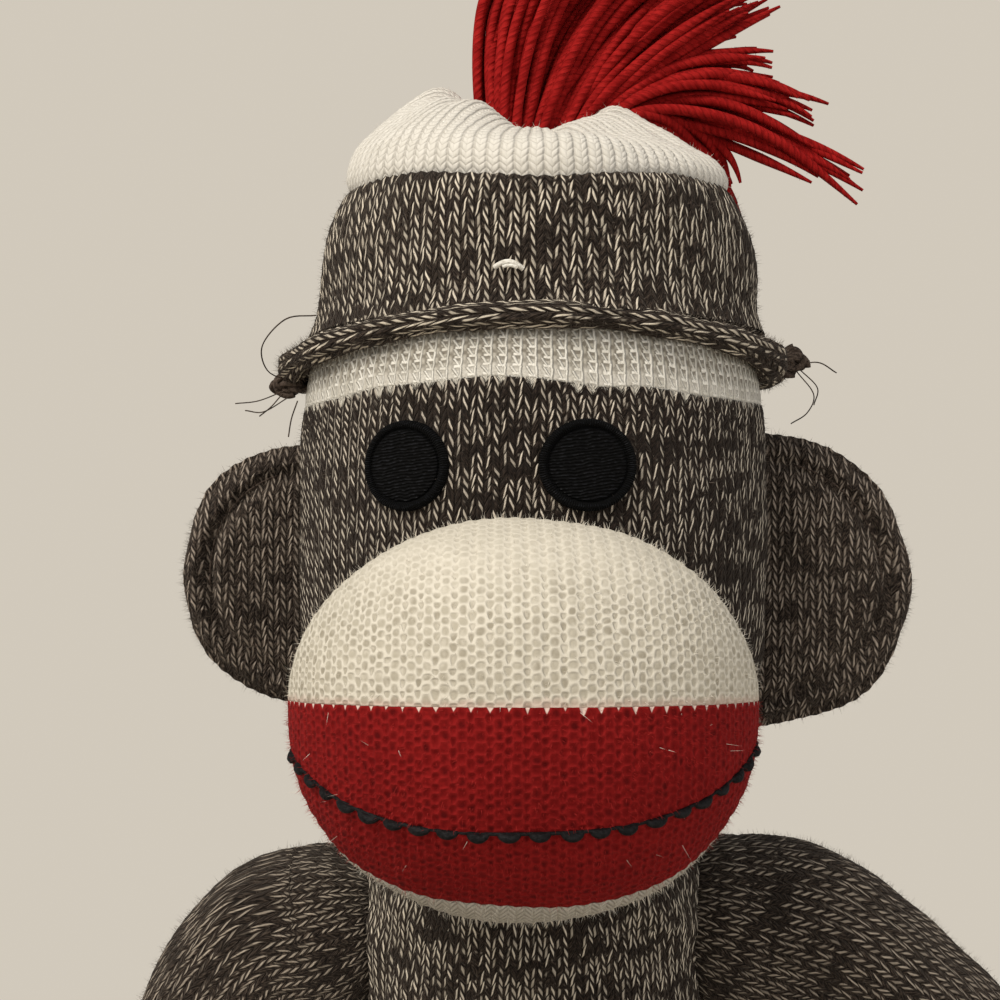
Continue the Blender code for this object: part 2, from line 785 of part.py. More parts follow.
def make_muzzle():
    upper = [math.pi * k / MUZZLE_COLUMNS for k in range(MUZZLE_COLUMNS + 1)]
    lower = [math.pi + turn for turn in upper]
    parts = (
        ("muzzle_upper", CREAM, upper, front_angle, muzzle_edge, MUZZLE_ROWS, GAP / 2),
        ("muzzle_lip", RED, lower, front_angle, rim_angle, MUZZLE_ROWS - 1, -GAP / 2),
        ("muzzle_rim", WHITE, lower, rim_start, muzzle_edge, RIM_BACK_ROWS, -GAP / 2),
    )
    for name, look, turns, first, last, rows, shift in parts:
        outer = muzzle_grid(turns, first, last, rows, 0, shift)
        inner = muzzle_grid(turns, first, last, rows, KNIT_WALL, shift)
        thick_patch(name, outer, inner, look)
    turns = upper[:-1] + lower[:-1]
    inset = STUFFING_INSET + MUZZLE_FILLING_ROOM
    front = muzzle_grid(turns, front_angle, muzzle_edge, MUZZLE_ROWS, inset, 0)
    centre = sum(front[-1], Vector()) / len(front[-1])
    back = []
    for share in FILLING_BACK_SHARES:
        row = []
        for point in front[-1]:
            flat = centre.lerp(point, share)
            radius = head_radius(flat.z) + MUZZLE_SEAM_GAP + GAP
            row.append(Vector((flat.x, -math.sqrt(max(radius**2 - flat.x**2, 0)), flat.z)))
        back.append(row)
    radius = head_radius(centre.z) + MUZZLE_SEAM_GAP + GAP
    last = Vector((centre.x, -math.sqrt(radius**2 - centre.x**2), centre.z))
    lofted("muzzle_stuffing", front[1:] + back, FILLING, start=front[0][0], end=last)


def lip_place(x, z):
    # The angle and turn on the lower muzzle for a place seen from the front.
    lift = 0
    angle = 0
    turn = 0
    for _ in range(LIP_SEARCH_STEPS):
        across = (x - MUZZLE_CENTRE_X) / MUZZLE_HALF_WIDTH
        up = (MUZZLE_CENTRE_HEIGHT + lift - z) / MUZZLE_DROP
        power = MUZZLE_FULLNESS
        size = (abs(across) ** power + abs(up) ** power) ** (1 / power)
        angle = math.asin(min(size, 1))
        lift = MUZZLE_LINE_LIFT * math.cos(angle)
        down = (abs(up) / size) ** (power / 2)
        turn = math.atan2(-down, math.copysign((abs(across) / size) ** (power / 2), across))
    return angle, turn


def muzzle_normal(angle, turn):
    step = NORMAL_STEP
    along = muzzle_point(angle + step, turn) - muzzle_point(angle - step, turn)
    about = muzzle_point(angle, turn + step) - muzzle_point(angle, turn - step)
    normal = along.cross(about).normalized()
    outwards = muzzle_point(angle, turn) - Vector((MUZZLE_CENTRE_X, MUZZLE_CENTRE_Y, MUZZLE_CENTRE_HEIGHT))
    return normal if normal.dot(outwards) > 0 else -normal


def make_mouth():
    way = []
    for k in range(MOUTH_SAMPLES + 1):
        part = 2 * k / MOUTH_SAMPLES - 1
        x = MUZZLE_CENTRE_X + MOUTH_HALF_WIDTH * math.sin(part * math.pi / 2)
        z = MOUTH_HEIGHT + MOUTH_CORNER_RISE * abs(math.sin(part * math.pi / 2)) ** MOUTH_CURVE_POWER
        angle, turn = lip_place(x, z)
        clear = KNIT_WALL * STITCH_LIFT_SHARE + STITCH_RADIUS
        way.append(muzzle_point(angle, turn) + muzzle_normal(angle, turn) * clear)
    length = lengths_along(way)[-1]
    stitches = round(length / STITCH_PITCH)
    points = evenly(way, stitches * POINTS_A_STITCH + 1)
    radii = []
    for k in range(len(points)):
        thin = k % POINTS_A_STITCH == 0
        radii.append(STITCH_RADIUS * (STITCH_THIN_SHARE if thin else 1))
    tube("mouth_stitch", points, radii, STITCH_SIDES, BLACK)


def transported_frames(points):
    frames = []
    side = Vector((0, 0, 1))
    for k in range(len(points)):
        along = (points[min(k + 1, len(points) - 1)] - points[max(k - 1, 0)]).normalized()
        if k == 0 and abs(along.dot(side)) > PARALLEL_COSINE:
            side = Vector((0, 1, 0))
        side = (side - along * side.dot(along)).normalized()
        frames.append((along, side, along.cross(side)))
    return frames


def tube(name, points, radii, sides, look):
    rings = []
    for point, radius, (along, u, v) in zip(points, radii, transported_frames(points)):
        ring = []
        for k in range(sides):
            turn = math.tau * k / sides
            ring.append(point + (u * math.cos(turn) + v * math.sin(turn)) * radius)
        rings.append(ring)
    frames = transported_frames(points)
    start = points[0] - frames[0][0] * radii[0]
    end = points[-1] + frames[-1][0] * radii[-1]
    return lofted(name, rings, look, start=start, end=end)


# Eyes and ears

def make_eye(name, x):
    turn_to = math.asin(x / head_radius(EYE_HEIGHT))

    def place(radius, turn, lift):
        a = radius * math.cos(turn)
        height = EYE_HEIGHT + radius * math.sin(turn)
        out = head_radius(height) + lift
        angle = turn_to + a / head_radius(EYE_HEIGHT)
        return Vector((out * math.sin(angle), -out * math.cos(angle), height))

    def ring(radius, lift):
        return [place(radius, math.tau * k / EYE_SIDES, lift) for k in range(EYE_SIDES)]

    top = GAP + EYE_THICKNESS
    rings = [ring(EYE_RADIUS * k / EYE_RINGS, top) for k in range(1, EYE_RINGS + 1)]
    rings += [ring(EYE_RADIUS * k / EYE_RINGS, GAP) for k in range(EYE_RINGS, 0, -1)]
    lofted(name, rings, BLACK, start=place(0, 0, top), end=place(0, 0, GAP))


def ear_ring(share, sign, reach, half_height, middle, inset, size=1):
    # One upright section of an ear, at a share of the way from the head to its rim.
    fall = (1 - share**EAR_ROUNDNESS) ** (1 / EAR_ROUNDNESS)
    tall = (half_height * fall - inset) * size
    thick = (EAR_HALF_THICKNESS * fall**EAR_EDGE_POWER - inset) * size
    ring = []
    for k in range(EAR_SIDES):
        turn = math.tau * k / EAR_SIDES
        z = middle + tall * math.sin(turn)
        y = EAR_SETBACK - EAR_CUP * share**2 + thick * math.cos(turn)
        near = math.sqrt(max((head_radius(z) + EAR_SEAM_GAP) ** 2 - y**2, 0))
        far = reach - inset
        ring.append(Vector((sign * (near + (far - near) * share), y, z)))
    return ring


def make_ear(side, sign, reach, half_height, middle):
    shares = [EAR_LAST_SHARE * math.sin(math.pi / 2 * k / (EAR_RINGS - 1)) for k in range(EAR_RINGS)]
    tip_y = EAR_SETBACK - EAR_CUP

    def rings(inset):
        return [ear_ring(share, sign, reach, half_height, middle, inset) for share in shares]

    def tip(inset):
        return Vector((sign * (reach - inset), tip_y, middle))

    outer = rings(0)
    inner = rings(KNIT_WALL)
    cover = outer[::-1] + inner
    lofted("ear_" + side, cover, MARL, start=tip(0), end=tip(KNIT_WALL))
    # The padding's root lies along the head in shrinking rings.
    root = [ear_ring(0, sign, reach, half_height, middle, STUFFING_INSET, size) for size in EAR_ROOT_SHARES]
    near = math.sqrt((head_radius(middle) + EAR_SEAM_GAP) ** 2 - EAR_SETBACK**2)
    heart = Vector((sign * near, EAR_SETBACK, middle))
    filling = root[::-1] + rings(STUFFING_INSET)
    lofted("ear_" + side + "_padding", filling, FILLING, start=heart, end=tip(STUFFING_INSET))


# Hat

def brim_place(turn):
    # The rolled edge lies on the head all round and dips at the two side seams.
    side = abs(math.sin(turn))
    radius = BRIM_RADIUS + (BRIM_CORNER_RADIUS - BRIM_RADIUS) * side**BRIM_CORNER_POWER
    height = BRIM_FRONT_HEIGHT - BRIM_SIDE_DROP * side**2
    return radius, height


def brim_centre(turn):
    # The roll touches the head where the head is widest within the roll's own height.
    radius, height = brim_place(turn)
    widest = 0
    for k in range(ROLL_SAMPLES):
        lean = math.pi * (k / (ROLL_SAMPLES - 1) - 1 / 2)
        level = height + radius * math.sin(lean)
        widest = max(widest, head_radius(level) + radius * math.cos(lean))
    return widest + GAP, height, radius


def make_brim():
    rings = []
    for k in range(HAT_SIDES):
        turn = math.tau * k / HAT_SIDES
        out, height, radius = brim_centre(turn)
        facing = Vector((math.sin(turn), -math.cos(turn), 0))
        ring = []
        for j in range(BRIM_SIDES):
            lean = math.tau * j / BRIM_SIDES
            point = facing * (out + radius * math.cos(lean))
            point.z = height + radius * math.sin(lean)
            ring.append(point)
        rings.append(ring)
    lofted("hat_brim", rings, MARL, loop=True)


def band_section(turn):
    # Outer side up, rounded top, inner side down, at one place round the hat.
    out, height, radius = brim_centre(turn)
    bottom = height + radius * BAND_ABOVE_BRIM_SHARE
    section = []
    for k in range(BAND_RINGS):
        part = k / (BAND_RINGS - 1)
        level = bottom + (HAT_BAND_TOP - bottom) * part
        swell = HAT_BAND_RADIUS - HAT_BAND_WALL / 2 * part**BAND_TAPER_POWER
        section.append((max(swell, head_radius(level) + HAT_SEAM_GAP + HAT_BAND_WALL / 2), level))
    for k in range(BAND_RINGS - 1, -1, -1):
        part = k / (BAND_RINGS - 1)
        level = bottom + (HAT_BAND_TOP - bottom) * part
        section.append((head_radius(level) + HAT_SEAM_GAP, level))
    # The outer foot stands clear of the roll below it.
    foot = section[0]
    away = Vector((foot[0] - out, foot[1] - height))
    if away.length < radius + GAP:
        away = away.normalized() * (radius + GAP)
        section[0] = (out + away.x, height + away.y)
    return section


def make_band():
    sections = [band_section(math.tau * k / HAT_SIDES) for k in range(HAT_SIDES)]
    rings = []
    for j in range(len(sections[0])):
        ring = []
        for k in range(HAT_SIDES):
            turn = math.tau * k / HAT_SIDES
            out, height = sections[k][j]
            ring.append(Vector((out * math.sin(turn), -out * math.cos(turn), height)))
        rings.append(ring)
    lofted("hat_band", rings, MARL, loop=True)


def crown_rings(inset):
    points = [(CROWN_RADIUS * r, HAT_BAND_TOP + GAP + CROWN_RISE * z, 0) for r, z in CROWN_OUTLINE_SHARES]
    line = [Vector((p.x, p.y)) for p in evenly(smooth_points(points), CROWN_RINGS)]
    hollow = TASSEL_ROOT_RADIUS + SOCKET_GAP
    first = math.asin(min(line[-1].x * CROWN_LIP_SHARE / hollow, 1))
    last = math.asin(CROWN_HOLE_RADIUS / hollow)
    for k in range(CROWN_HOLLOW_STEPS + 1):
        turn = first + (last - first) * k / CROWN_HOLLOW_STEPS
        line.append(Vector((hollow * math.sin(turn), TASSEL_PIVOT_HEIGHT - hollow * math.cos(turn))))
    line = inset_line(line, inset)
    rings = []
    peak = max(point.y for point in line)
    for k, point in enumerate(line):
        inwards = k / (len(line) - 1)
        shift = TASSEL_X * min(inwards * CROWN_SHIFT_RATE, 1) ** 2
        sag = CROWN_SAG * math.sin(math.pi * min(inwards / CROWN_SAG_SHARE, 1))
        ring = []
        for j in range(CROWN_SIDES):
            turn = math.tau * j / CROWN_SIDES
            lobe = max(1 - abs(inwards - LOBE_PLACE_SHARE) / LOBE_FADE_SHARE, 0) * CROWN_LOBE_HEIGHT
            height = min(point.y + lobe * math.cos(CROWN_LOBES * turn), peak + lobe)
            height -= sag * max(math.cos(turn), 0) ** CROWN_SAG_POWER
            ring.append(Vector((shift + point.x * math.sin(turn), -point.x * math.cos(turn), height)))
        rings.append(ring)
    return rings


def make_crown():
    lofted("hat_crown", crown_rings(0) + crown_rings(KNIT_WALL)[::-1], WHITE, loop=True)


def make_tack():
    points = []
    out = HAT_BAND_RADIUS + TACK_RADIUS + GAP
    for k in range(TACK_STEPS + 1):
        x = TACK_X + TACK_HALF_LENGTH * (2 * k / TACK_STEPS - 1)
        points.append(Vector((x, -math.sqrt(out**2 - x**2), TACK_HEIGHT)))
    tube("hat_tack", points, [TACK_RADIUS] * len(points), TACK_SIDES, WHITE)


def make_tassel():
    rings = []
    for k in range(1, TASSEL_ROOT_RINGS):
        turn = math.pi * k / TASSEL_ROOT_RINGS
        radius = TASSEL_ROOT_RADIUS * math.sin(turn)
        height = -TASSEL_ROOT_RADIUS * math.cos(turn)
        ring = round_ring(radius, height, TASSEL_ROOT_SIDES, 0, TASSEL_ROOT_DEPTH_SHARE)
        rings.append([TASSEL_PIVOT + point for point in ring])
    up = Vector((0, 0, TASSEL_ROOT_RADIUS))
    root = lofted("tassel", rings, RED_YARN, start=TASSEL_PIVOT - up, end=TASSEL_PIVOT + up)
    for number, share in enumerate(LOCK_TIP_SHARES):
        boolean(root, make_lock(number, Vector(share) * TASSEL_LENGTH), "UNION")


def make_lock(number, tip):
    # One lock of yarn rises from the root, bends over and thins to its tip.
    start = LOCK_START_SHARE * tip
    root = TASSEL_PIVOT + Vector((start.x, start.y, -LOCK_START_DROP * number))
    height = TASSEL_LENGTH * LOCK_RISE_SHARE
    rise = Vector((tip.x * LOCK_SPREAD_SHARES[0], tip.y * LOCK_SPREAD_SHARES[1], height))
    lean = Vector((tip.x * LOCK_LEAN_SHARE, tip.y * LOCK_LEAN_SHARE, height))
    points = []
    radii = []
    for k in range(LOCK_RINGS):
        t = k / (LOCK_RINGS - 1)
        s = 1 - t
        points.append(root + rise * (3 * s * s * t) + lean * (3 * s * t * t) + tip * t**3)
        swell = math.sin(math.pi * (LOCK_SWELL_SHARES[0] + LOCK_SWELL_SHARES[1] * t))
        radii.append(LOCK_TIP_RADIUS + (LOCK_RADIUS - LOCK_TIP_RADIUS) * swell * (1 - t**LOCK_TAPER_POWER))
    return tube("tassel_lock_tool_" + str(number), points, radii, LOCK_SIDES, None)


# Arms, legs and tail

def make_limb(names, pivot, way, girth, radius, split_share, sides, rings):
    # A stuffed tube with a round root about its pivot and a round end, in two colours.
    cover_name, end_name, filling_name = names
    dense = smooth_points([pivot + point for point in way])
    frames = transported_frames(dense)
    run = lengths_along(dense)

    def station(distance, size):
        place = point_at(dense, run, distance)
        k = min(range(len(run)), key=lambda i: abs(run[i] - distance))
        return place, frames[k], size

    def ring_of(place, frame, size, inset):
        along, u, v = frame
        ring = []
        for k in range(sides):
            turn = math.tau * k / sides
            point = place + (u * math.cos(turn) + v * math.sin(turn)) * size
            point.z = max(point.z, inset)
            ring.append(point)
        return ring

    def root_rings(inset):
        size = radius * girth[0][1] - inset
        place, frame, _ = station(0, size)
        out = []
        for k in range(1, CAP_STEPS + 1):
            turn = math.pi / 2 * k / (CAP_STEPS + 1)
            middle = place - frame[0] * size * math.cos(turn)
            out.append(ring_of(middle, frame, size * math.sin(turn), inset))
        return out, place - frame[0] * size

    def end_rings(inset):
        size = radius * girth[-1][1] - inset
        place, frame, _ = station(run[-1], size)
        out = []
        for k in range(1, CAP_STEPS + 1):
            turn = math.pi / 2 * k / (CAP_STEPS + 1)
            middle = place + frame[0] * size * math.sin(turn)
            out.append(ring_of(middle, frame, size * math.cos(turn), inset))
        return out, place + frame[0] * size

    def run_rings(first, last, count, inset):
        out = []
        for k in range(count):
            distance = first + (last - first) * k / (count - 1)
            size = radius * read_table(girth, distance / run[-1]) - inset
            place, frame, _ = station(distance, size)
            out.append(ring_of(place, frame, size, inset))
        return out

    split = run[-1] * split_share
    main_count = round(rings * split_share)
    end_count = max(rings - main_count, CAP_STEPS)

    def main_part(inset):
        cap, pole = root_rings(inset)
        return cap + run_rings(0, split, main_count, inset), pole

    def end_part(inset):
        cap, pole = end_rings(inset)
        return run_rings(split + GAP, run[-1], end_count, inset) + cap, pole

    outer, outer_pole = main_part(0)
    inner, inner_pole = main_part(KNIT_WALL)
    lofted(cover_name, outer + inner[::-1], MARL, start=outer_pole, end=inner_pole)
    outer, outer_pole = end_part(0)
    inner, inner_pole = end_part(KNIT_WALL)
    lofted(end_name, outer[::-1] + inner, WHITE, start=outer_pole, end=inner_pole)
    main, start = main_part(STUFFING_INSET)
    far, end = end_part(STUFFING_INSET)
    lofted(filling_name, main + far[1:], FILLING, start=start, end=end)


def make_limbs():
    for side, sign, shares in (("left", 1, ARM_LEFT_WAY_SHARES), ("right", -1, ARM_RIGHT_WAY_SHARES)):
        names = ("arm_" + side, "hand_" + side, "arm_" + side + "_stuffing")
        pivot = shoulder_pivot(sign)
        way = [Vector((sign * x, y, z)) * ARM_LENGTH for x, y, z in shares]
        make_limb(names, pivot, way, ARM_GIRTH_SHARES, ARM_RADIUS, ARM_CUFF_SHARE, ARM_SIDES, ARM_RINGS)
        move_origins(names, pivot)
        names = ("leg_" + side, "foot_" + side, "leg_" + side + "_stuffing")
        pivot = Vector((sign * HIP_HALF_WIDTH, HIP_SETBACK, HIP_HEIGHT))
        way = [Vector((sign * x, y, z)) * LEG_LENGTH for x, y, z in LEG_WAY_SHARES]
        make_limb(names, pivot, way, LEG_GIRTH_SHARES, LEG_RADIUS, LEG_ANKLE_SHARE, LEG_SIDES, LEG_RINGS)
        move_origins(names, pivot)
    names = ("tail", "tail_tip", "tail_stuffing")
    way = [Vector(share) * TAIL_LENGTH for share in TAIL_WAY_SHARES]
    make_limb(names, TAIL_PIVOT, way, TAIL_GIRTH_SHARES, TAIL_RADIUS, TAIL_TIP_SHARE, TAIL_SIDES, TAIL_RINGS)
    move_origins(names, TAIL_PIVOT)


def move_origins(names, pivot):
    # Each moving piece turns about its own origin.
    for name in names:
        obj = bpy.data.objects[name]
        obj.data.transform(Matrix.Translation(-pivot))
        obj.location = pivot


HEAD_PIECES = (
    "neck_gather",
    "head_cover",
    "head_top",
    "head_stuffing",
    "muzzle_upper",
    "muzzle_lip",
    "muzzle_rim",
    "muzzle_stuffing",
    "mouth_stitch",
    "eye_left",
    "eye_right",
    "ear_left",
    "ear_left_padding",
    "ear_right",
    "ear_right_padding",
    "hat_brim",
    "hat_band",
    "hat_crown",
    "hat_tack",
)

clear_scene()
make_body()
make_neck_gather()
make_head()
make_muzzle()
make_mouth()
make_eye("eye_right", EYE_RIGHT_X)
make_eye("eye_left", EYE_LEFT_X)
make_ear("left", 1, EAR_LEFT_REACH, EAR_LEFT_HALF_HEIGHT, EAR_LEFT_MIDDLE)
make_ear("right", -1, EAR_RIGHT_REACH, EAR_RIGHT_HALF_HEIGHT, EAR_RIGHT_MIDDLE)
make_brim()
make_band()
make_crown()
make_tack()
make_tassel()
make_limbs()
move_origins(HEAD_PIECES, NECK_PIVOT)
move_origins(("tassel",), TASSEL_PIVOT)
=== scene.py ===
import math
import random

import bpy
import numpy as np
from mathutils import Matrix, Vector


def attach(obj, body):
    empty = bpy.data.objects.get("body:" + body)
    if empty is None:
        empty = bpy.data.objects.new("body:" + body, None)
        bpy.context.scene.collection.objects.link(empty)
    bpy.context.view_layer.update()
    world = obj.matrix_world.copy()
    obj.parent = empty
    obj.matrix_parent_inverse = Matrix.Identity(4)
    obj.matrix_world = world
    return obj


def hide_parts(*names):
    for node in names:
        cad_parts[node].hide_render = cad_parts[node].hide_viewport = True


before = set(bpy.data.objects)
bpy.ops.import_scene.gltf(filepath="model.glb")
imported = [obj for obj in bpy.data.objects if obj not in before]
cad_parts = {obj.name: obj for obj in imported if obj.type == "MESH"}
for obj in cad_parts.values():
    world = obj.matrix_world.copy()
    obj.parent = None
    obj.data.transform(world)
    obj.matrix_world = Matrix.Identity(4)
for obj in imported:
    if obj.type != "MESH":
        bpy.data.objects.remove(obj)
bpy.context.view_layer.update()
print("frame loaded")

# the doll faces -Y, its own left is +X and the seat lies at z = 0
knit = {
    "wale": 0.0025,
    "course": 0.0018,
    "whiteCourse": 0.0017,
    "pointsPerWale": 4,
    "pointsPerCourse": 2,
}


# camera, light and floor
camera = {"place": (-0.0064, -0.240, 0.218), "lens": 43.2, "sensor": 36, "nearest": 0.01}
studio = {
    "backdrop": (0.640, 0.585, 0.500),
    "paperRoughness": 0.9,
    "floorRadius": 0.57,
    "floorPlace": (0, -0.300, -0.0004),
    "worldLight": 0.39,
    "worldColour": (1.0, 0.97, 0.93),
    "lampTarget": (0, 0, 0.2),
    # name, place, size, power and colour
    "lamps": (
        ("keyLamp", (-0.42, -0.50, 0.80), 0.45, 7.2, (1.0, 0.94, 0.85)),
        ("fillLamp", (0.55, -0.55, 0.35), 0.6, 1.3, (1.0, 0.96, 0.92)),
    ),
}


def addLamp(name, place, size, power, colour):
    bpy.ops.object.light_add(type="AREA", location=place)
    lamp = bpy.context.object
    lamp.name = name
    lamp.data.size = size
    lamp.data.energy = power
    lamp.data.color = colour
    towards = Vector(studio["lampTarget"]) - lamp.location
    lamp.rotation_euler = towards.to_track_quat("-Z", "Y").to_euler()


def addStudio():
    bpy.ops.object.camera_add(location=camera["place"], rotation=(math.pi / 2, 0, 0))
    eye = bpy.context.object
    eye.name = "photoCamera"
    eye.data.lens = camera["lens"]
    eye.data.sensor_width = camera["sensor"]
    eye.data.clip_start = camera["nearest"]
    bpy.context.scene.camera = eye
    for lamp in studio["lamps"]:
        addLamp(*lamp)
    world = bpy.data.worlds.new("studioWorld")
    world.use_nodes = True
    tree = world.node_tree
    tree.nodes.clear()
    out = tree.nodes.new("ShaderNodeOutputWorld")
    seen = tree.nodes.new("ShaderNodeBackground")
    seen.inputs["Color"].default_value = (*studio["backdrop"], 1)
    lit = tree.nodes.new("ShaderNodeBackground")
    lit.inputs["Color"].default_value = (*studio["worldColour"], 1)
    lit.inputs["Strength"].default_value = studio["worldLight"]
    path = tree.nodes.new("ShaderNodeLightPath")
    mix = tree.nodes.new("ShaderNodeMixShader")
    tree.links.new(path.outputs["Is Camera Ray"], mix.inputs[0])
    tree.links.new(lit.outputs[0], mix.inputs[1])
    tree.links.new(seen.outputs[0], mix.inputs[2])
    tree.links.new(mix.outputs[0], out.inputs["Surface"])
    bpy.context.scene.world = world
    bpy.context.scene.view_settings.view_transform = "Standard"
    bpy.ops.mesh.primitive_circle_add(
        vertices=96, radius=studio["floorRadius"], fill_type="NGON", location=studio["floorPlace"])
    floor = bpy.context.object
    floor.name = "studioFloor"
    paper = bpy.data.materials.new("palePaper")
    paper.use_nodes = True
    shader = paper.node_tree.nodes["Principled BSDF"]
    shader.inputs["Base Color"].default_value = (*studio["backdrop"], 1)
    shader.inputs["Roughness"].default_value = studio["paperRoughness"]
    floor.data.materials.append(paper)


addStudio()
print("studio ready")


# wires that can be added and multiplied, so that a stitch can be written as a formula
def feed(tree, sockets, values):
    # each socket takes a wire or a fixed value
    for socket, value in zip(sockets, values):
        if isinstance(value, Wire):
            tree.links.new(value.socket, socket)
        else:
            socket.default_value = value


class Wire:
    def __init__(self, tree, socket):
        self.tree = tree
        self.socket = socket

    def math(self, operation, *others):
        node = self.tree.nodes.new("ShaderNodeMath")
        node.operation = operation
        feed(self.tree, node.inputs, (self, *others))
        return Wire(self.tree, node.outputs[0])

    def __add__(self, other):
        return self.math("ADD", other)

    def __sub__(self, other):
        return self.math("SUBTRACT", other)

    def __mul__(self, other):
        return self.math("MULTIPLY", other)

    def __truediv__(self, other):
        return self.math("DIVIDE", other)

    def from1(self):
        return self * -1 + 1

    def whole(self):
        return self.math("FLOOR")

    def fraction(self):
        return self.math("FRACT")

    def size(self):
        return self.math("ABSOLUTE")

    def atLeast(self, other):
        return self.math("MAXIMUM", other)

    def power(self, exponent):
        return self.math("POWER", exponent)

    def ramp(self, low, high, start=0.0, end=1.0):
        node = self.tree.nodes.new("ShaderNodeMapRange")
        node.interpolation_type = "SMOOTHSTEP"
        feed(self.tree, node.inputs, (self, low, high, start, end))
        return Wire(self.tree, node.outputs[0])

    def mix(self, low, high):
        # low and high are colours or wires that carry one
        node = self.tree.nodes.new("ShaderNodeMix")
        node.data_type = "RGBA"
        ends = [end if isinstance(end, Wire) else (*end, 1) for end in (low, high)]
        feed(self.tree, (node.inputs[0], node.inputs[6], node.inputs[7]), (self, *ends))
        return Wire(self.tree, node.outputs[2])


def joined(tree, *parts):
    node = tree.nodes.new("ShaderNodeCombineXYZ")
    feed(tree, node.inputs, parts)
    return node.outputs[0]


def split(tree, socket):
    node = tree.nodes.new("ShaderNodeSeparateXYZ")
    tree.links.new(socket, node.inputs[0])
    return [Wire(tree, out) for out in node.outputs]


def noise(tree, vector, scale, detail):
    node = tree.nodes.new("ShaderNodeTexNoise")
    node.inputs["Scale"].default_value = scale
    node.inputs["Detail"].default_value = detail
    tree.links.new(vector, node.inputs["Vector"])
    return Wire(tree, node.outputs[0])


def clouds(detail, *place):
    # soft noise over wires: its grain is one unit of the place
    tree = place[0].tree
    return noise(tree, joined(tree, *place), 1.0, detail)


def chance(tree, *parts):
    # three random numbers for each cell
    node = tree.nodes.new("ShaderNodeTexWhiteNoise")
    tree.links.new(joined(tree, *parts), node.inputs["Vector"])
    return split(tree, node.outputs["Color"])


def startMaterial(name, specular, sheen=0.0, sheenTint=(1, 1, 1)):
    stuff = bpy.data.materials.new(name)
    stuff.use_nodes = True
    tree = stuff.node_tree
    shader = tree.nodes["Principled BSDF"]
    shader.inputs["Metallic"].default_value = 0.0
    shader.inputs["Specular IOR Level"].default_value = specular
    shader.inputs["Sheen Weight"].default_value = sheen
    shader.inputs["Sheen Roughness"].default_value = 0.45
    shader.inputs["Sheen Tint"].default_value = (*sheenTint, 1)
    return stuff, tree, shader


def finishMaterial(tree, shader, colour, height, depth, rough):
    tree.links.new(colour.socket, shader.inputs["Base Color"])
    tree.links.new(rough.socket, shader.inputs["Roughness"])
    bump = tree.nodes.new("ShaderNodeBump")
    bump.inputs["Distance"].default_value = depth
    tree.links.new(height.socket, bump.inputs["Height"])
    tree.links.new(bump.outputs[0], shader.inputs["Normal"])


def objectPlace(tree):
    return tree.nodes.new("ShaderNodeTexCoord").outputs["Object"]


def knitPlace(tree):
    # the piece's own stitch coordinates
    uvMap = tree.nodes.new("ShaderNodeUVMap")
    uvMap.uv_map = "knit"
    return split(tree, uvMap.outputs[0])[:2]


# knitted materials: u counts wales, v counts courses
def stitchLegs(tree, lean):
    # every wale has two legs that meet in a V: x runs over a leg's width, rise runs up its thickness
    u, v = knitPlace(tree)
    drift = clouds(1.0, u * 0.45, v * 0.45, 0.0)
    v = v + (drift - 0.5) * 0.7
    pull = clouds(1.0, u * 0.3, v * 0.5, 7.0)
    u = u + (pull - 0.5) * 0.22
    halves = u * 2
    column = halves.whole()
    x = halves - column - 0.5
    side = (column * 0.5).fraction() * 2
    way = side.from1() * 2 - 1
    lifted = v + way * x * lean
    row = lifted.whole()
    rise = lifted - row
    return u, v, column, row, side, x, rise


def legHeight(x, rise, roundness=0.5):
    across = ((rise * 2 - 1).power(2)).from1().power(roundness)
    along = ((x * 2).size().power(3) * 0.65).from1()
    return across * along


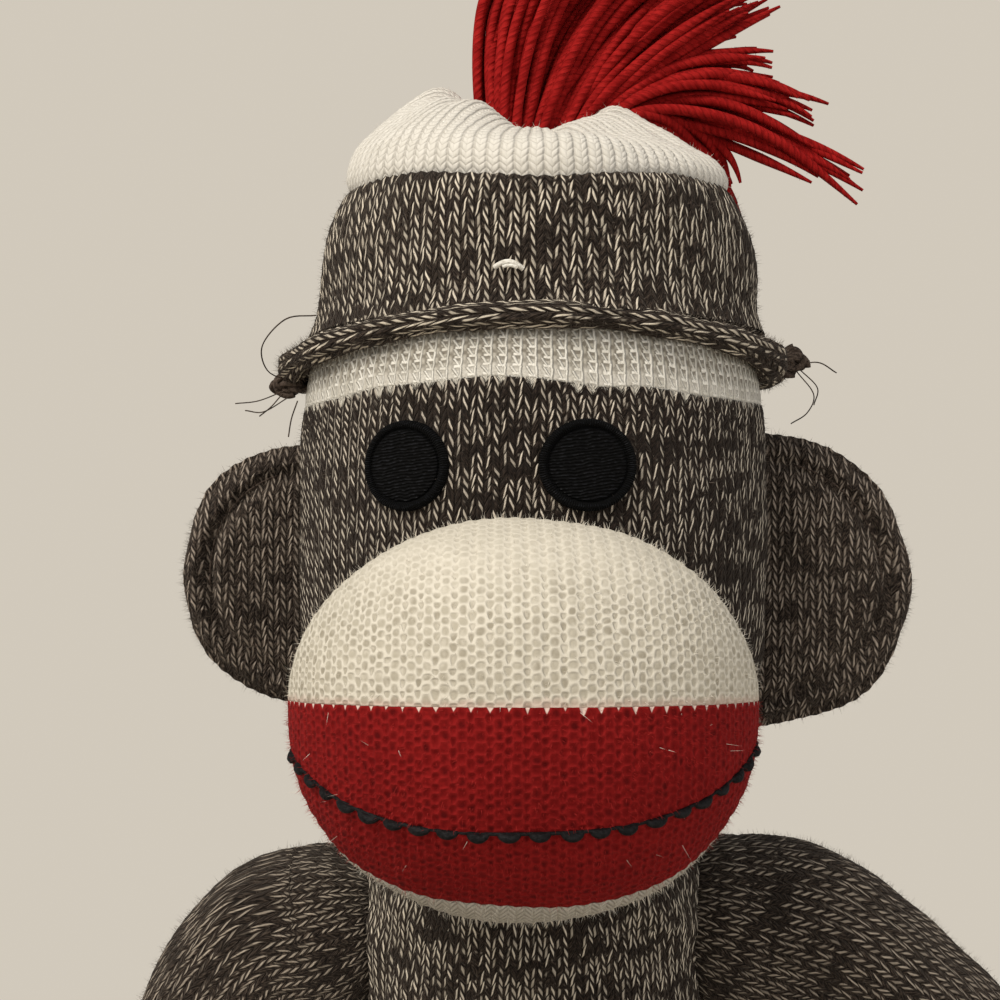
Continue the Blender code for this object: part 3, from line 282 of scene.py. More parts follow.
def marlKnit(name, look):
    stuff, tree, shader = startMaterial(name, 0.12, 0.09, (0.80, 0.70, 0.60))
    u, v, column, row, side, x, rise = stitchLegs(tree, 1.0)
    height = legHeight(x, rise)
    first, second, third = chance(tree, column, row, 3.0)
    # "\" legs show long leaning plies, "/" legs show upright ones
    middle = rise - 0.5
    tilt = (third - 0.5) * 0.55
    leftPly = (middle - (second - 0.5) * 0.30 + x * (tilt + 0.30)) / look["thick"]
    rightPly = (x - (second - 0.5) * 0.40 - middle * (tilt + 0.28)) / (look["thick"] * 0.80)
    ply = leftPly.size() * side.from1() + rightPly.size() * side
    start = (third - 0.5) * 0.22
    leftFade = ((x + start) * look["short"]).size().power(3).from1()
    rightFade = ((middle - start) * 2.05).power(2).from1()
    fade = leftFade * side.from1() + rightFade * side
    # cream comes and goes in patches, as the yarn was spun
    patch = clouds(2.0, u * 0.16, v * 0.42, 1.0)
    wanted = patch.ramp(0.30, 0.64, 0.42, 1.04) - side * 0.20
    there = (wanted - first).ramp(-0.06, 0.10)
    fleck = ply.ramp(1.0, 0.40) * fade.ramp(0.02, 0.40) * there * (third * 0.50 + 0.50)
    fibres = clouds(3.0, x * 2.6 + column * 3.1, rise * 5.5 + row * 5.3, side * 9)
    dim = fibres.ramp(0.42, 0.68) * patch.ramp(0.25, 0.75, 0.50, 1.0)
    base = dim.mix(look["ground"], look["haze"])
    yarn = (fleck * 0.98).mix(base, look["cream"])
    # painted shade: the gaps between the stitch legs are painted near-black
    colour = height.ramp(0.02, 0.42).mix(marlGapShade, yarn)
    if "tips" in look:
        # the first white stitches hang into the marl in small points, where v runs up to nothing
        own, wider, _ = chance(tree, u.whole(), 0.0, 11.0)
        point = (u.fraction() - 0.5).size() * -2 + 1
        hang = point * (own + 0.2) + (fibres - 0.5) * 2.2
        colour = (v + hang + (wider - 0.5) * 0.3).ramp(-0.05, 0.45).mix(colour, look["tips"])
    relief = height * 0.8 + fleck * 0.12 + fibres * 0.5
    finishMaterial(tree, shader, colour, relief, 0.0008, height.ramp(0.0, 1.0, 0.98, 0.80))
    return stuff


def plainKnit(name, look):
    # a plain stockinette of one colour, with its own soil and painted shade in the gaps between its stitch legs
    stuff, tree, shader = startMaterial(name, 0.2, look["sheen"], look["light"])
    u, v, column, row, side, x, rise = stitchLegs(tree, look["lean"])
    height = legHeight(x, rise, 1.0)
    first, _, _ = chance(tree, column, row, 5.0)
    fibres = clouds(3.0, x * 1.6 + column * 3.1, rise * 5.0 + row * 5.3, side * 9)
    cloud = clouds(2.0, u * 0.10, v * 0.08, 2.0)
    tone = (fibres * 0.5 + first * 0.25 + cloud * 0.35).ramp(0.25, 0.85)
    yarn = tone.mix(look["shade"], look["light"])
    # painted shade: the gaps between the stitch legs take the darker gap colour
    colour = height.ramp(*look["gapAt"]).mix(look["gapShade"], yarn)
    if "valleyShade" in look:
        # each wale reads as one soft rib, with painted shade where two wales meet
        valleyShade = ((u.fraction() - 0.5) * 2).size().ramp(0.60, 1.0)
        colour = (valleyShade * look["valleyShade"]).mix(colour, look["gapShade"])
        height = height * 0.5 + valleyShade.from1() * 0.7
    rough = height.ramp(0.0, 1.0, 0.97, 0.82)
    finishMaterial(tree, shader, colour, height + fibres * 0.25, look["relief"], rough)
    return stuff


def meshKnit(name, look):
    # stretched knit: thin yarn round two offset columns of holes
    stuff, tree, shader = startMaterial(name, 0.12, look["sheen"], look["yarn"])
    u, v = knitPlace(tree)
    drift = clouds(1.0, u * 0.5, v * 0.5, 0.0)
    pull = clouds(1.0, u * 0.5, v * 0.5, 4.0)
    v = v + (drift - 0.5) * 0.70
    u = u + (pull - 0.5) * 0.26
    # the holes within a wale narrow towards their foot
    taper = look["between"][0] * 0.9
    open1, first = holeColumn(tree, u, v, 0.0, look["between"], look["soft"], 1.0)
    open2, second = holeColumn(tree, u + 0.5, v + 0.5, taper, look["within"], look["soft"], 2.0)
    hole = open1.atLeast(open2)
    cloud = clouds(3.0, u * 0.12, v * 0.10, 2.0)
    fibres = clouds(3.0, u * 4.0, v * 3.0, 2.0)
    yarn = (fibres * 0.6 + cloud * 0.4).ramp(0.30, 0.65).mix(look["shade"], look["yarn"])
    # painted shade: the holes are painted darker than the yarn, and holes picked at random as deeper are darker
    # still
    deep = (first * open1 + second * open2).ramp(0.2, 1.0)
    inside = deep.mix(look["hole"], look["deepHoleShade"])
    hairs = clouds(3.0, u * 1.9, v * 0.9, 6.0)
    if "closing" in look:
        # the knit is less stretched, so more closed, towards the top
        hole = hole * v.ramp(*look["closing"], 1.0, 0.42)
    colour = (hole * hairs.ramp(0.25, 0.60, look["clear"], 1.0)).mix(yarn, inside)
    if "stain" in look:
        # a little of the lower colour shows through along the colour line
        colour = ((v + (hairs - 0.5) * 1.2).ramp(1.0, -0.1) * 0.50).mix(colour, look["stain"])
    if "tips" in look:
        # the last stitches of the upper colour poke into this one
        own, _, _ = chance(tree, (u + 0.5).whole(), 0.0, 12.0)
        point = ((u + 0.5).fraction() - 0.5).size() * 3.0
        edge = v - point + (own - 0.5) * 0.25 + (hairs - 0.5) * 0.4
        colour = edge.ramp(-0.54, -0.30).mix(colour, look["tips"])
    rough = hole.ramp(0.0, 1.0, 0.84, 0.97)
    finishMaterial(tree, shader, colour, hole.from1() * 0.8 + hairs * 0.6, look["relief"], rough)
    return stuff


def holeColumn(tree, u, v, taper, radii, soft, seed):
    # one column of holes, each narrower towards its foot by the taper
    column = u.whole()
    row = v.whole()
    a = u - column - 0.5
    b = v - row - 0.5
    first, second, third = chance(tree, column, row, seed)
    wide = b * taper + radii[0] + (second - 0.5) * 0.10
    tall = (third - 0.5) * 0.12 + radii[1]
    reach = ((a / wide).size().power(2.6) + (b / tall).size().power(2.6)).power(0.385)
    return reach.ramp(*soft), first


def netKnit(name, look):
    # knit stretched wide open: an upright and a leaning thread in every wale, tied by short bars over gaps painted
    # dark as shade
    stuff, tree, shader = startMaterial(name, 0.12, look["sheen"], look["yarn"])
    u, v = knitPlace(tree)
    v = v + (clouds(1.0, u * 0.5, v * 0.5, 0.0) - 0.5) * 0.6
    u = u + (clouds(1.0, u * 0.6, v * 0.7, 4.0) - 0.5) * 0.22
    column, row = u.whole(), v.whole()
    a, b = u - column, v - row
    first, second, third = chance(tree, column, row, 8.0)
    upright = ((a - 0.80 - (b - 0.5) * 0.05) / 0.125).power(2).from1()
    leaning = ((a - 0.66 + b * 0.44 - (second - 0.5) * 0.14) / 0.135).power(2).from1() * (third * 0.40 + 0.65)
    bar = ((b - 0.12) / 0.24).power(2).from1() * ((a - 0.60) / 0.34).power(4).from1().atLeast(0.0) * 0.75
    thread = upright.atLeast(leaning).atLeast(bar).atLeast(0.0)
    c = (u + 0.28).fraction()
    d = (v + 0.45).fraction() - 0.5
    bridge = ((c - 0.20) / 0.24).power(2).from1() * (d / 0.34).power(2).from1()
    fibres = clouds(3.0, u * 5.0, v * 4.0, 2.0)
    hairs = clouds(3.0, u * 1.7, v * 0.8, 6.0)
    # painted shade: the holes and the bars set back in them are painted darker than the threads
    gapShade = bridge.ramp(-0.3, 0.8).mix(look["hole"], look["bridge"])
    yarn = (fibres * 0.6 + first * 0.4).ramp(0.25, 0.70).mix(look["shade"], look["yarn"])
    # the stitches next to the colour line are closed
    shut = (v + (hairs - 0.5) * 2.4).ramp(2.2, 0.2) * 0.60
    cover = (thread.ramp(0.0, 0.55) + hairs.ramp(0.42, 0.80) * 0.26 + shut).math("MINIMUM", 1.0)
    rough = cover.ramp(0.0, 1.0, 0.97, 0.84)
    finishMaterial(tree, shader, cover.mix(gapShade, yarn), thread + fibres * 0.3, look["relief"], rough)
    return stuff


def threadLook(name, colour, shade, rough, specular, sheen=0.0):
    # spun thread: fine streaks and a little loose shine
    stuff, tree, shader = startMaterial(name, specular, sheen, colour)
    place = objectPlace(tree)
    streaks = noise(tree, place, 1900.0, 3.0)
    cloud = noise(tree, place, 260.0, 2.0)
    tone = (streaks * 0.6 + cloud * 0.4).ramp(0.36, 0.62)
    dull = tone.ramp(0.0, 1.0, rough + 0.08, rough - 0.08)
    finishMaterial(tree, shader, tone.mix(shade, colour), streaks, 0.0003, dull)
    return stuff


def pliedYarn(name, look):
    # three plies wound round each other: u runs round a strand, v counts turns along it
    stuff, tree, shader = startMaterial(name, 0.08, look["sheen"], look["light"])
    u, v = knitPlace(tree)
    ply = (u + v) * 3
    bulge = (ply.fraction() * 2 - 1).power(2).from1()
    fibres = clouds(3.0, ply * 2.2, v * 1.6, 0.0)
    cloud = noise(tree, objectPlace(tree), 260.0, 2.0)
    tone = (fibres * 0.6 + cloud * 0.4).ramp(0.34, 0.64)
    # painted shade: the grooves between the plies take the darker gap colour
    colour = bulge.ramp(0.0, 0.45).mix(look["gapShade"], tone.mix(look["shade"], look["light"]))
    rough = tone.ramp(0.0, 1.0, 0.95, 0.82)
    finishMaterial(tree, shader, colour, bulge * 0.35 + fibres * 0.7, 0.0004, rough)
    return stuff


def eyeSatin(name, look):
    # u runs round the patch, v from its middle to its edge: rows of thread inside, a laid border outside
    stuff, tree, shader = startMaterial(name, 0.13)
    u, v = knitPlace(tree)
    x, _, z = split(tree, objectPlace(tree))
    wave = noise(tree, objectPlace(tree), 330.0, 2.0)
    rows = ((z * 1900 - x * 240 + wave * 1.8).fraction() * 2 - 1).size().from1()
    broken = clouds(2.0, x * 950, z * 2300, 0.0)
    laid = ((u * 118 + wave * 0.9).fraction() * 2 - 1).size().from1()
    border = v.ramp(0.81, 0.84)
    groove = ((v - 0.81) / 0.035).power(2).from1().atLeast(0.0)
    height = rows * border.from1() * 0.8 + laid * border
    # painted highlight and shade: thread tops are painted lighter where they shine, while the gaps between rows,
    # the breaks between dashes and the groove inside the border are painted near-black
    shine = (height * broken.ramp(0.43, 0.62)).ramp(0.15, 0.75) * groove.from1()
    colour = shine.mix(look["shadedThread"], border.mix(look["rows"], look["border"]))
    rough = shine.ramp(0.0, 1.0, 0.85, 0.45)
    finishMaterial(tree, shader, colour, height + broken * 0.5 - groove, 0.0007, rough)
    return stuff


# near-black painted shade for the gaps between the marl stitch legs
marlGapShade = (0.003, 0.0020, 0.0016)
looks = {
    "marl": marlKnit("marlKnit", {
        "ground": (0.0095, 0.0064, 0.0052), "haze": (0.100, 0.074, 0.056), "cream": (0.850, 0.760, 0.620),
        "thick": 0.32, "short": 3.2}),
    "marlHead": marlKnit("marlKnitHead", {
        "ground": (0.0090, 0.0060, 0.0049), "haze": (0.058, 0.041, 0.031), "cream": (0.720, 0.642, 0.532),
        "thick": 0.27, "short": 3.2, "tips": (0.700, 0.660, 0.570)}),
    "marlDull": marlKnit("marlKnitDull", {
        "ground": (0.0100, 0.0068, 0.0055), "haze": (0.125, 0.094, 0.072), "cream": (0.480, 0.410, 0.330),
        "thick": 0.30, "short": 3.3}),
    "marlEar": marlKnit("marlKnitEar", {
        "ground": (0.0090, 0.0060, 0.0050), "haze": (0.155, 0.118, 0.092), "cream": (0.430, 0.362, 0.300),
        "thick": 0.32, "short": 3.2}),
    # the hole colours of the mesh knits are painted shade in the holes
    "cream": meshKnit("creamMesh", {
        "yarn": (0.700, 0.655, 0.560), "shade": (0.600, 0.560, 0.470), "hole": (0.450, 0.412, 0.330),
        "deepHoleShade": (0.330, 0.295, 0.228), "stain": (0.560, 0.370, 0.310), "clear": 0.45, "sheen": 0.10,
        "relief": 0.00018, "soft": (1.22, 0.55), "between": (0.270, 0.42), "within": (0.190, 0.40),
        "closing": (7.5, 16.0)}),
    "red": meshKnit("redMesh", {
        "yarn": (0.270, 0.0100, 0.0095), "shade": (0.190, 0.0055, 0.0058), "hole": (0.145, 0.0036, 0.0038),
        "deepHoleShade": (0.085, 0.0022, 0.0026), "tips": (0.680, 0.520, 0.455), "clear": 0.15, "sheen": 0.06,
        "relief": 0.00030, "soft": (1.55, 0.25), "between": (0.250, 0.42), "within": (0.185, 0.40)}),
    "white": plainKnit("whiteKnit", {
        "light": (0.745, 0.716, 0.655), "shade": (0.640, 0.612, 0.550), "gapShade": (0.510, 0.480, 0.424),
        "gapAt": (0.0, 0.24), "lean": 0.8, "relief": 0.0003, "sheen": 0.18, "valleyShade": 0.50}),
    # painted shade: the rim under the lip is a darker copy of the white knit
    "rim": plainKnit("shadedRimKnit", {
        "light": (0.560, 0.525, 0.465), "shade": (0.450, 0.415, 0.355), "gapShade": (0.360, 0.330, 0.280),
        "gapAt": (0.0, 0.50), "lean": 1.0, "relief": 0.0004, "sheen": 0.12}),
    "heel": plainKnit("redKnit", {
        "light": (0.330, 0.0140, 0.0120), "shade": (0.220, 0.0070, 0.0070), "gapShade": (0.060, 0.0025, 0.0030),
        "gapAt": (0.05, 0.65), "lean": 1.0, "relief": 0.0006, "sheen": 0.10}),
    "whiteNet": netKnit("whiteNet", {
        "yarn": (0.840, 0.812, 0.738), "shade": (0.650, 0.622, 0.550), "hole": (0.205, 0.184, 0.150),
        "bridge": (0.420, 0.392, 0.332), "relief": 0.0005, "sheen": 0.12}),
    "yarn": pliedYarn("redYarn", {
        "light": (0.345, 0.0115, 0.0102), "shade": (0.210, 0.0052, 0.0050), "gapShade": (0.190, 0.0044, 0.0044),
        "sheen": 0.12}),
    "satin": eyeSatin("eyeSatin", {
        "shadedThread": (0.0003, 0.0003, 0.0006), "rows": (0.0150, 0.0155, 0.0190),
        "border": (0.0110, 0.0120, 0.0155)}),
    # threads: colour, shade, roughness, specular and sheen
    "black": threadLook("blackThread", (0.0060, 0.0060, 0.0070), (0.0015, 0.0015, 0.0018), 0.70, 0.2),
    "brown": threadLook("brownThread", (0.090, 0.066, 0.052), (0.020, 0.014, 0.011), 0.80, 0.15),
    "tack": threadLook("whiteThread", (0.860, 0.840, 0.780), (0.600, 0.570, 0.500), 0.70, 0.25),
    "fuzzDark": threadLook("marlFuzz", (0.200, 0.165, 0.135), (0.060, 0.045, 0.036), 0.90, 0.1, 0.2),
    "fuzzRed": threadLook("redFuzz", (0.420, 0.035, 0.030), (0.230, 0.010, 0.010), 0.90, 0.1, 0.1),
    "fuzzPale": threadLook("paleFuzz", (0.820, 0.780, 0.690), (0.640, 0.600, 0.510), 0.90, 0.1, 0.2),
}
print("materials ready")


# shaping tools
def clearSelection():
    if bpy.context.object and bpy.context.object.mode != "OBJECT":
        bpy.ops.object.mode_set(mode="OBJECT")
    bpy.ops.object.select_all(action="DESELECT")


def curveThrough(points, count=400):
    # a smooth line through a few points, evenly spaced
    points = np.array(points, float)
    padded = np.vstack([2 * points[0] - points[1], points, 2 * points[-1] - points[-2]])
    out = []
    for a, b, c, d in zip(padded, padded[1:], padded[2:], padded[3:]):
        for t in np.linspace(0, 1, 24, endpoint=False):
            square = (2 * a - 5 * b + 4 * c - d) * t**2
            cube = (3 * b - a - 3 * c + d) * t**3
            out.append((2 * b + (c - a) * t + square + cube) / 2)
    return evenLine(np.array(out + [points[-1]]), count)


def runOf(line):
    return np.concatenate([[0], np.cumsum(np.linalg.norm(np.diff(line, axis=0), axis=1))])


def along(line, run, distance):
    return np.stack([np.interp(distance, run, line[:, k]) for k in range(line.shape[1])], 1)


def evenLine(line, count):
    run = runOf(line)
    return along(line, run, np.linspace(0, run[-1], count))


def lumps(points, size, seed=0.0):
    # the soft unevenness of stuffing under cloth
    x, y, z = points.T
    wave = np.sin(173 * x + 91 * z + seed) * np.sin(149 * z - 67 * y + 1.7 * seed)
    wave += 0.6 * np.sin(287 * y + 211 * z + 2.3 + seed) * np.sin(263 * x - 119 * z + seed)
    return size * wave


def ribs(knitPlace, depth=0.00016):
    # each wale stands proud, and each course a little
    u, v = knitPlace.T
    return depth * (np.cos(2 * np.pi * u) + 0.4 * np.cos(2 * np.pi * v))


def readAll(items, what, width=1, kind=float):
    # one value, or one row of them, for each corner or face of a mesh
    values = np.empty(len(items) * width, kind)
    items.foreach_get(what, values)
    return values if width == 1 else values.reshape(-1, width)


def knitPiece(name, across, up, place, look, relief=None, outwards=1):
    # a grid laid on a surface: place takes shares across and up, and gives points and stitches
    clearSelection()
    bpy.ops.mesh.primitive_grid_add(x_subdivisions=across, y_subdivisions=up, size=2, calc_uvs=True)
    piece = bpy.context.object
    piece.name = name
    piece.data.name = name
    mesh = piece.data
    flat = readAll(mesh.vertices, "co", 3)
    s, t = np.clip((flat[:, :2].T + 1) / 2, 0, 1)
    points, stitches = place(s, t)
    if relief is not None:
        step = 1e-4
        towards = np.where(t > 0.5, -step, step)
        sideways, _ = place(s + step, t)
        upwards, _ = place(s, t + towards)
        normal = np.cross(sideways - points, (upwards - points) * np.sign(towards)[:, None])
        length = np.linalg.norm(normal, axis=1)
        normal /= np.maximum(length, 1e-12)[:, None]
        points = points + outwards * normal * relief(points, stitches, s, t)[:, None]
    mesh.vertices.foreach_set("co", points.ravel())
    corner = readAll(mesh.loops, "vertex_index", kind=int)
    mesh.uv_layers[0].name = "knit"
    mesh.uv_layers[0].data.foreach_set("uv", stitches[corner].ravel())
    closeSeams(piece)
    piece.data.materials.append(looks[look])
    return piece


def closeSeams(piece):
    bpy.context.view_layer.objects.active = piece
    piece.select_set(True)
    bpy.ops.object.mode_set(mode="EDIT")
    bpy.ops.mesh.select_all(action="SELECT")
    bpy.ops.mesh.remove_doubles(threshold=2e-6)
    bpy.ops.mesh.select_all(action="SELECT")
    bpy.ops.mesh.normals_make_consistent(inside=False)
    bpy.ops.object.mode_set(mode="OBJECT")
    bpy.ops.object.shade_smooth()
    clearSelection()


def giveWall(piece, wall):
    # an open skin gets its cloth's thickness, inwards
    bpy.context.view_layer.objects.active = piece
    bpy.ops.object.modifier_add(type="SOLIDIFY")
    piece.modifiers[-1].thickness = wall
    piece.modifiers[-1].offset = -1
    bpy.ops.object.modifier_apply(modifier=piece.modifiers[-1].name)


def threads(name, routes, look, sides=2, section=None):
    # one curve holds many threads: each route is its points and its radius at each
    clearSelection()
    bpy.ops.curve.primitive_nurbs_path_add()
    piece = bpy.context.object
    piece.name = name
    piece.data.name = name
    piece.data.splines.clear()
    for points, radii in routes:
        spline = piece.data.splines.new("POLY")
        spline.points.add(len(points) - 1)
        spline.points.foreach_set("co", np.column_stack([points, np.ones(len(points))]).ravel())
        spline.points.foreach_set("radius", np.broadcast_to(radii, len(points)).astype(float).ravel())
    piece.data.dimensions = "3D"
    if section is None:
        piece.data.bevel_depth = 1.0
        piece.data.bevel_resolution = sides
    else:
        piece.data.bevel_mode = "OBJECT"
        piece.data.bevel_object = section
    piece.data.use_fill_caps = True
    piece.data.twist_mode = "MINIMUM"
    bpy.context.view_layer.objects.active = piece
    piece.select_set(True)
    bpy.ops.object.convert(target="MESH")
    piece = bpy.context.object
    piece.data.transform(piece.matrix_world)
    piece.matrix_world.identity()
    piece.data.materials.clear()
    piece.data.materials.append(looks[look])
    bpy.ops.object.shade_smooth()
    clearSelection()
    return piece


def stands(piece, body, nodes=()):
    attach(piece, body)
    if nodes:
        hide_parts(*nodes)


# turned and tubular covers
limbFloor = 0.0003


def turnedPlace(line, wales, course, depthShare=None, after=None):
    # a line of (radius, height) turned about +Z: angle 0 is the front and the seam is at the back
    run = runOf(line)

    def place(s, t):
        radius, height = along(line, run, t * run[-1]).T
        angle = 2 * np.pi * s + np.pi
        deep = 1.0 if depthShare is None else depthShare(height)
        points = np.stack([radius * np.sin(angle), -radius * deep * np.cos(angle), height], 1)
        if after is not None:
            points = after(points)
        return points, np.stack([s * wales, t * run[-1] / course], 1)

    return place, run[-1]


def framesAlong(line):
    # two steady directions square to the line
    way = np.gradient(line, axis=0)
    way /= np.linalg.norm(way, axis=1)[:, None]
    side = np.array([0.0, 0.0, 1.0]) if abs(way[0][2]) < 0.9 else np.array([0.0, 1.0, 0.0])
    sides = []
    for direction in way:
        side = side - direction * side.dot(direction)
        side /= np.linalg.norm(side)
        sides.append(side)
    sides = np.array(sides)
    return way, sides, np.cross(way, sides)


def tubePlace(line, profile, wales, course):
    # profile gives (distance along the line, radius) and may run past the line's ends
    run = runOf(line)
    way, first, second = framesAlong(line)
    steps = runOf(profile)

    def place(s, t):
        distance, radius = along(profile, steps, t * steps[-1]).T
        inside = np.clip(distance, 0, run[-1])
        direction = along(way, run, inside)
        centre = along(line, run, inside) + direction * (distance - inside)[:, None]
        angle = 2 * np.pi * s + np.pi
        ring = along(first, run, inside) * np.cos(angle)[:, None]
        ring = ring + along(second, run, inside) * np.sin(angle)[:, None]
        points = centre + ring * radius[:, None]
        points[:, 2] = np.maximum(points[:, 2], limbFloor)
        return points, np.stack([s * wales, t * steps[-1] / course], 1)

    return place, steps[-1]


def roundEnd(distance, radius, sign, count=10):
    # a half-round end in (distance, radius), from the tube's side to the pole
    turn = np.linspace(0, np.pi / 2, count)
    return np.stack([distance + sign * radius * np.sin(turn), radius * np.cos(turn)], 1)


def counts(wales, length, course):
    return int(wales * knit["pointsPerWale"]), max(int(length / course * knit["pointsPerCourse"]), 8)


# head
head = {
    "pivotHeight": 0.1725,
    "ballRadius": 0.0240,
    "radius": 0.0457,
    "rise": 0.1165,
    "colourLine": 0.2378,
    "pressed": 0.2780,
    "wales": 112,
    "seamFade": 0.0012,
    "fill": 0.9,
    "outline": (
        (0.530, -0.030), (0.640, -0.024), (0.760, -0.012), (0.870, 0.018), (0.950, 0.072), (0.985, 0.145),
        (0.998, 0.240), (1.000, 0.365), (0.996, 0.475), (0.980, 0.562), (0.946, 0.622), (0.890, 0.664),
        (0.864, 0.720), (0.850, 0.785), (0.795, 0.855), (0.688, 0.915), (0.525, 0.958), (0.300, 0.989),
        (0.000, 1.000),
    ),
    # how the colour line dips and rises across the front
    "dipAt": (-0.044, -0.035, -0.027, -0.018, -0.008, 0.0, 0.010, 0.018, 0.027, 0.038, 0.044),
    "dip": (-0.0022, -0.0017, -0.0004, -0.0001, 0.0007, 0.0002, -0.0011, -0.0008, -0.0018, -0.0020, -0.0016),
}


def ballArc(radius, start, end):
    # part of the round joint between head and body, as (radius, height)
    turn = np.linspace(math.radians(start), math.radians(end), 30)
    return np.stack([radius * np.sin(turn), head["pivotHeight"] - radius * np.cos(turn)], 1)


headUpper = curveThrough([
    (r * head["radius"], head["pivotHeight"] + z * head["rise"]) for r, z in head["outline"]])
headUpper[:, 0] = np.maximum(headUpper[:, 0], 0)
headLine = np.vstack([ballArc(head["ballRadius"], 0, 77), headUpper])


def headRadius(height):
    return np.interp(height, headUpper[:, 1][8:], headUpper[:, 0][8:])


def waveLine(points):
    x, y, z = points.T.copy()
    front = np.clip(0.5 - y / 0.030, 0, 1)
    near = np.exp(-(((z - head["colourLine"]) / 0.0055) ** 2))
    return np.stack([x, y, z + np.interp(x, head["dipAt"], head["dip"]) * front * near], 1)


def fromLine(place, start):
    # courses are counted from the colour line
    def moved(s, t):
        points, stitches = place(s, t)
        return points, stitches - [0, start]

    return moved


def makeHeadCover():
    level = head["colourLine"]
    edge = float(headRadius(level))
    low = np.vstack([headLine[headLine[:, 1] < level - 0.0001], [[edge, level]]])
    last = runOf(low)[-1]
    line = np.vstack([low, [[edge * 0.96, level - 0.0006], [0, level - 0.001]]])
    place, length = turnedPlace(line, head["wales"], knit["course"], None, waveLine)
    across, up = counts(head["wales"], length, knit["course"])

    def relief(p, k, s, t):
        return (ribs(k) + lumps(p, 0.00022)) * np.clip((last - t * length) / head["seamFade"], 0, 1)

    cover = knitPiece("headCover", across, up, fromLine(place, last / knit["course"]), "marlHead", relief)
    stands(cover, "head", ("head_cover", "head_stuffing"))


def makeHeadTop():
    level = head["colourLine"]
    edge = float(headRadius(level))
    high = headUpper[headUpper[:, 1] > level + 0.0002]
    # the hat presses the top of the head down
    over = high[:, 1] - head["pressed"]
    high[:, 1] = np.where(over > 0, head["pressed"] + over * 0.25, high[:, 1])
    opening = np.array([
        [0, level - 0.0014], [edge * 0.97, level - 0.0010], [edge - 0.0003, level - 0.0006], [edge, level]])
    first = runOf(opening)[-1]
    line = np.vstack([opening, high])
    course = knit["whiteCourse"]
    place, length = turnedPlace(line, head["wales"], course, None, waveLine)
    across, up = counts(head["wales"], length, course)

    def relief(p, k, s, t):
        return ribs(k, 0.00011) * np.clip((t * length - first) / head["seamFade"], 0, 1)

    top = knitPiece("headTop", across, up, fromLine(place, first / course), "whiteNet", relief)
    stands(top, "head", ("head_top",))


makeHeadCover()
makeHeadTop()
print("head ready")


# muzzle
muzzle = {
    "centre": (-0.0028, -0.0500, 0.1865),
    "halfWidth": 0.03675,
    "rise": 0.0285,
    "drop": 0.0345,
    "reach": 0.0340,
    "back": 0.0160,
    "lift": 0.0045,
    "fullness": 2.2,
    "wale": 0.00245,
    "course": 0.00158,
    "wall": 0.0015,
    "ribDepth": 0.00009,
    "fill": 0.9,
    # how far round the lip reaches at its corners, and how much less in the middle
    "lipReach": 102,
    "lipRise": 44,
}


def muzzlePoints(angle, turn):
    across = np.cos(turn)
    up = np.sin(turn)
    below = up < -1e-9
    power = 2 / muzzle["fullness"]
    across = np.where(below, np.sign(across) * np.abs(across) ** power, across)
    up = np.where(below, -(np.abs(up) ** power), up)
    tall = np.where(below, muzzle["drop"], muzzle["rise"])
    deep = np.where(angle < np.pi / 2, muzzle["reach"], muzzle["back"])
    lift = muzzle["lift"] * np.maximum(np.cos(angle), 0)
    x, y, z = muzzle["centre"]
    return np.stack([
        x + muzzle["halfWidth"] * np.sin(angle) * across,
        y - deep * np.cos(angle),
        z + tall * np.sin(angle) * up + lift,
    ], 1)


def muzzleStitches(points, angle):
    # wales run up and down the muzzle, courses along the lip line
    x = points[:, 0] - muzzle["centre"][0]
    z = points[:, 2] - muzzle["centre"][2] - muzzle["lift"] * np.maximum(np.cos(angle), 0)
    wide = np.arcsin(np.clip(x / muzzle["halfWidth"] * 0.93, -1, 1)) / 0.93 * muzzle["halfWidth"]
    tall = np.where(z > 0, muzzle["rise"], muzzle["drop"])
    high = np.arcsin(np.clip(z / tall * 0.90, -1, 1)) / 0.90 * tall * 1.02
    return np.stack([wide / muzzle["wale"], high / muzzle["course"]], 1)


def faceEdge(turn):
    # the angle at which the muzzle meets the face
    low = np.full(turn.shape, np.pi / 3)
    high = np.full(turn.shape, np.pi * 0.98)
    for _ in range(30):
        middle = (low + high) / 2
        points = muzzlePoints(middle, turn)
        outside = np.hypot(points[:, 0], points[:, 1]) > headRadius(points[:, 2]) - 0.0008
        low = np.where(outside, middle, low)
        high = np.where(outside, high, middle)
    return low


def startAngle(turn):
    return np.zeros(turn.shape)


def rimAngle(turn):
    rise = math.radians(muzzle["lipRise"]) * np.abs(np.sin(turn)) ** 1.05
    return math.radians(muzzle["lipReach"]) - rise


def underRim(turn):
    return rimAngle(turn) + 0.004


def muzzlePiece(name, look, turns, first, last, up, nodes):
    def place(s, t):
        turn = turns[0] + (turns[1] - turns[0]) * s
        begin = first(turn)
        angle = begin + (last(turn) - begin) * t
        points = muzzlePoints(angle, turn)
        return points, muzzleStitches(points, angle)

    def relief(p, k, s, t):
        return ribs(k, muzzle["ribDepth"]) + lumps(p, 0.0002, 4.0)

    piece = knitPiece(name, 200, up, place, look, relief)
    giveWall(piece, muzzle["wall"])
    stands(piece, "head", nodes)


def makeMuzzle():
    upper, lower = (0, np.pi), (np.pi, 2 * np.pi)
    nodes = ("muzzle_upper", "muzzle_stuffing")
    muzzlePiece("muzzleUpper", "cream", upper, startAngle, faceEdge, 90, nodes)
    muzzlePiece("muzzleLip", "red", lower, startAngle, rimAngle, 90, ("muzzle_lip",))
    # the rim under the lip takes the darker rim knit, painted shade
    muzzlePiece("muzzleRim", "rim", lower, underRim, faceEdge, 24, ("muzzle_rim",))


makeMuzzle()
print("muzzle ready")


# mouth stitches
mouth = {
    "height": 0.1734,
    "cornerRise": 0.0072,
    "slant": 0.0006,
    "halfWidth": 0.0353,
    "pitch": 0.0041,
    "radius": 0.00064,
    "bedRadius": 0.00026,
    "bulge": 0.0003,
    "sag": 0.00045,
    "seed": 11,
}


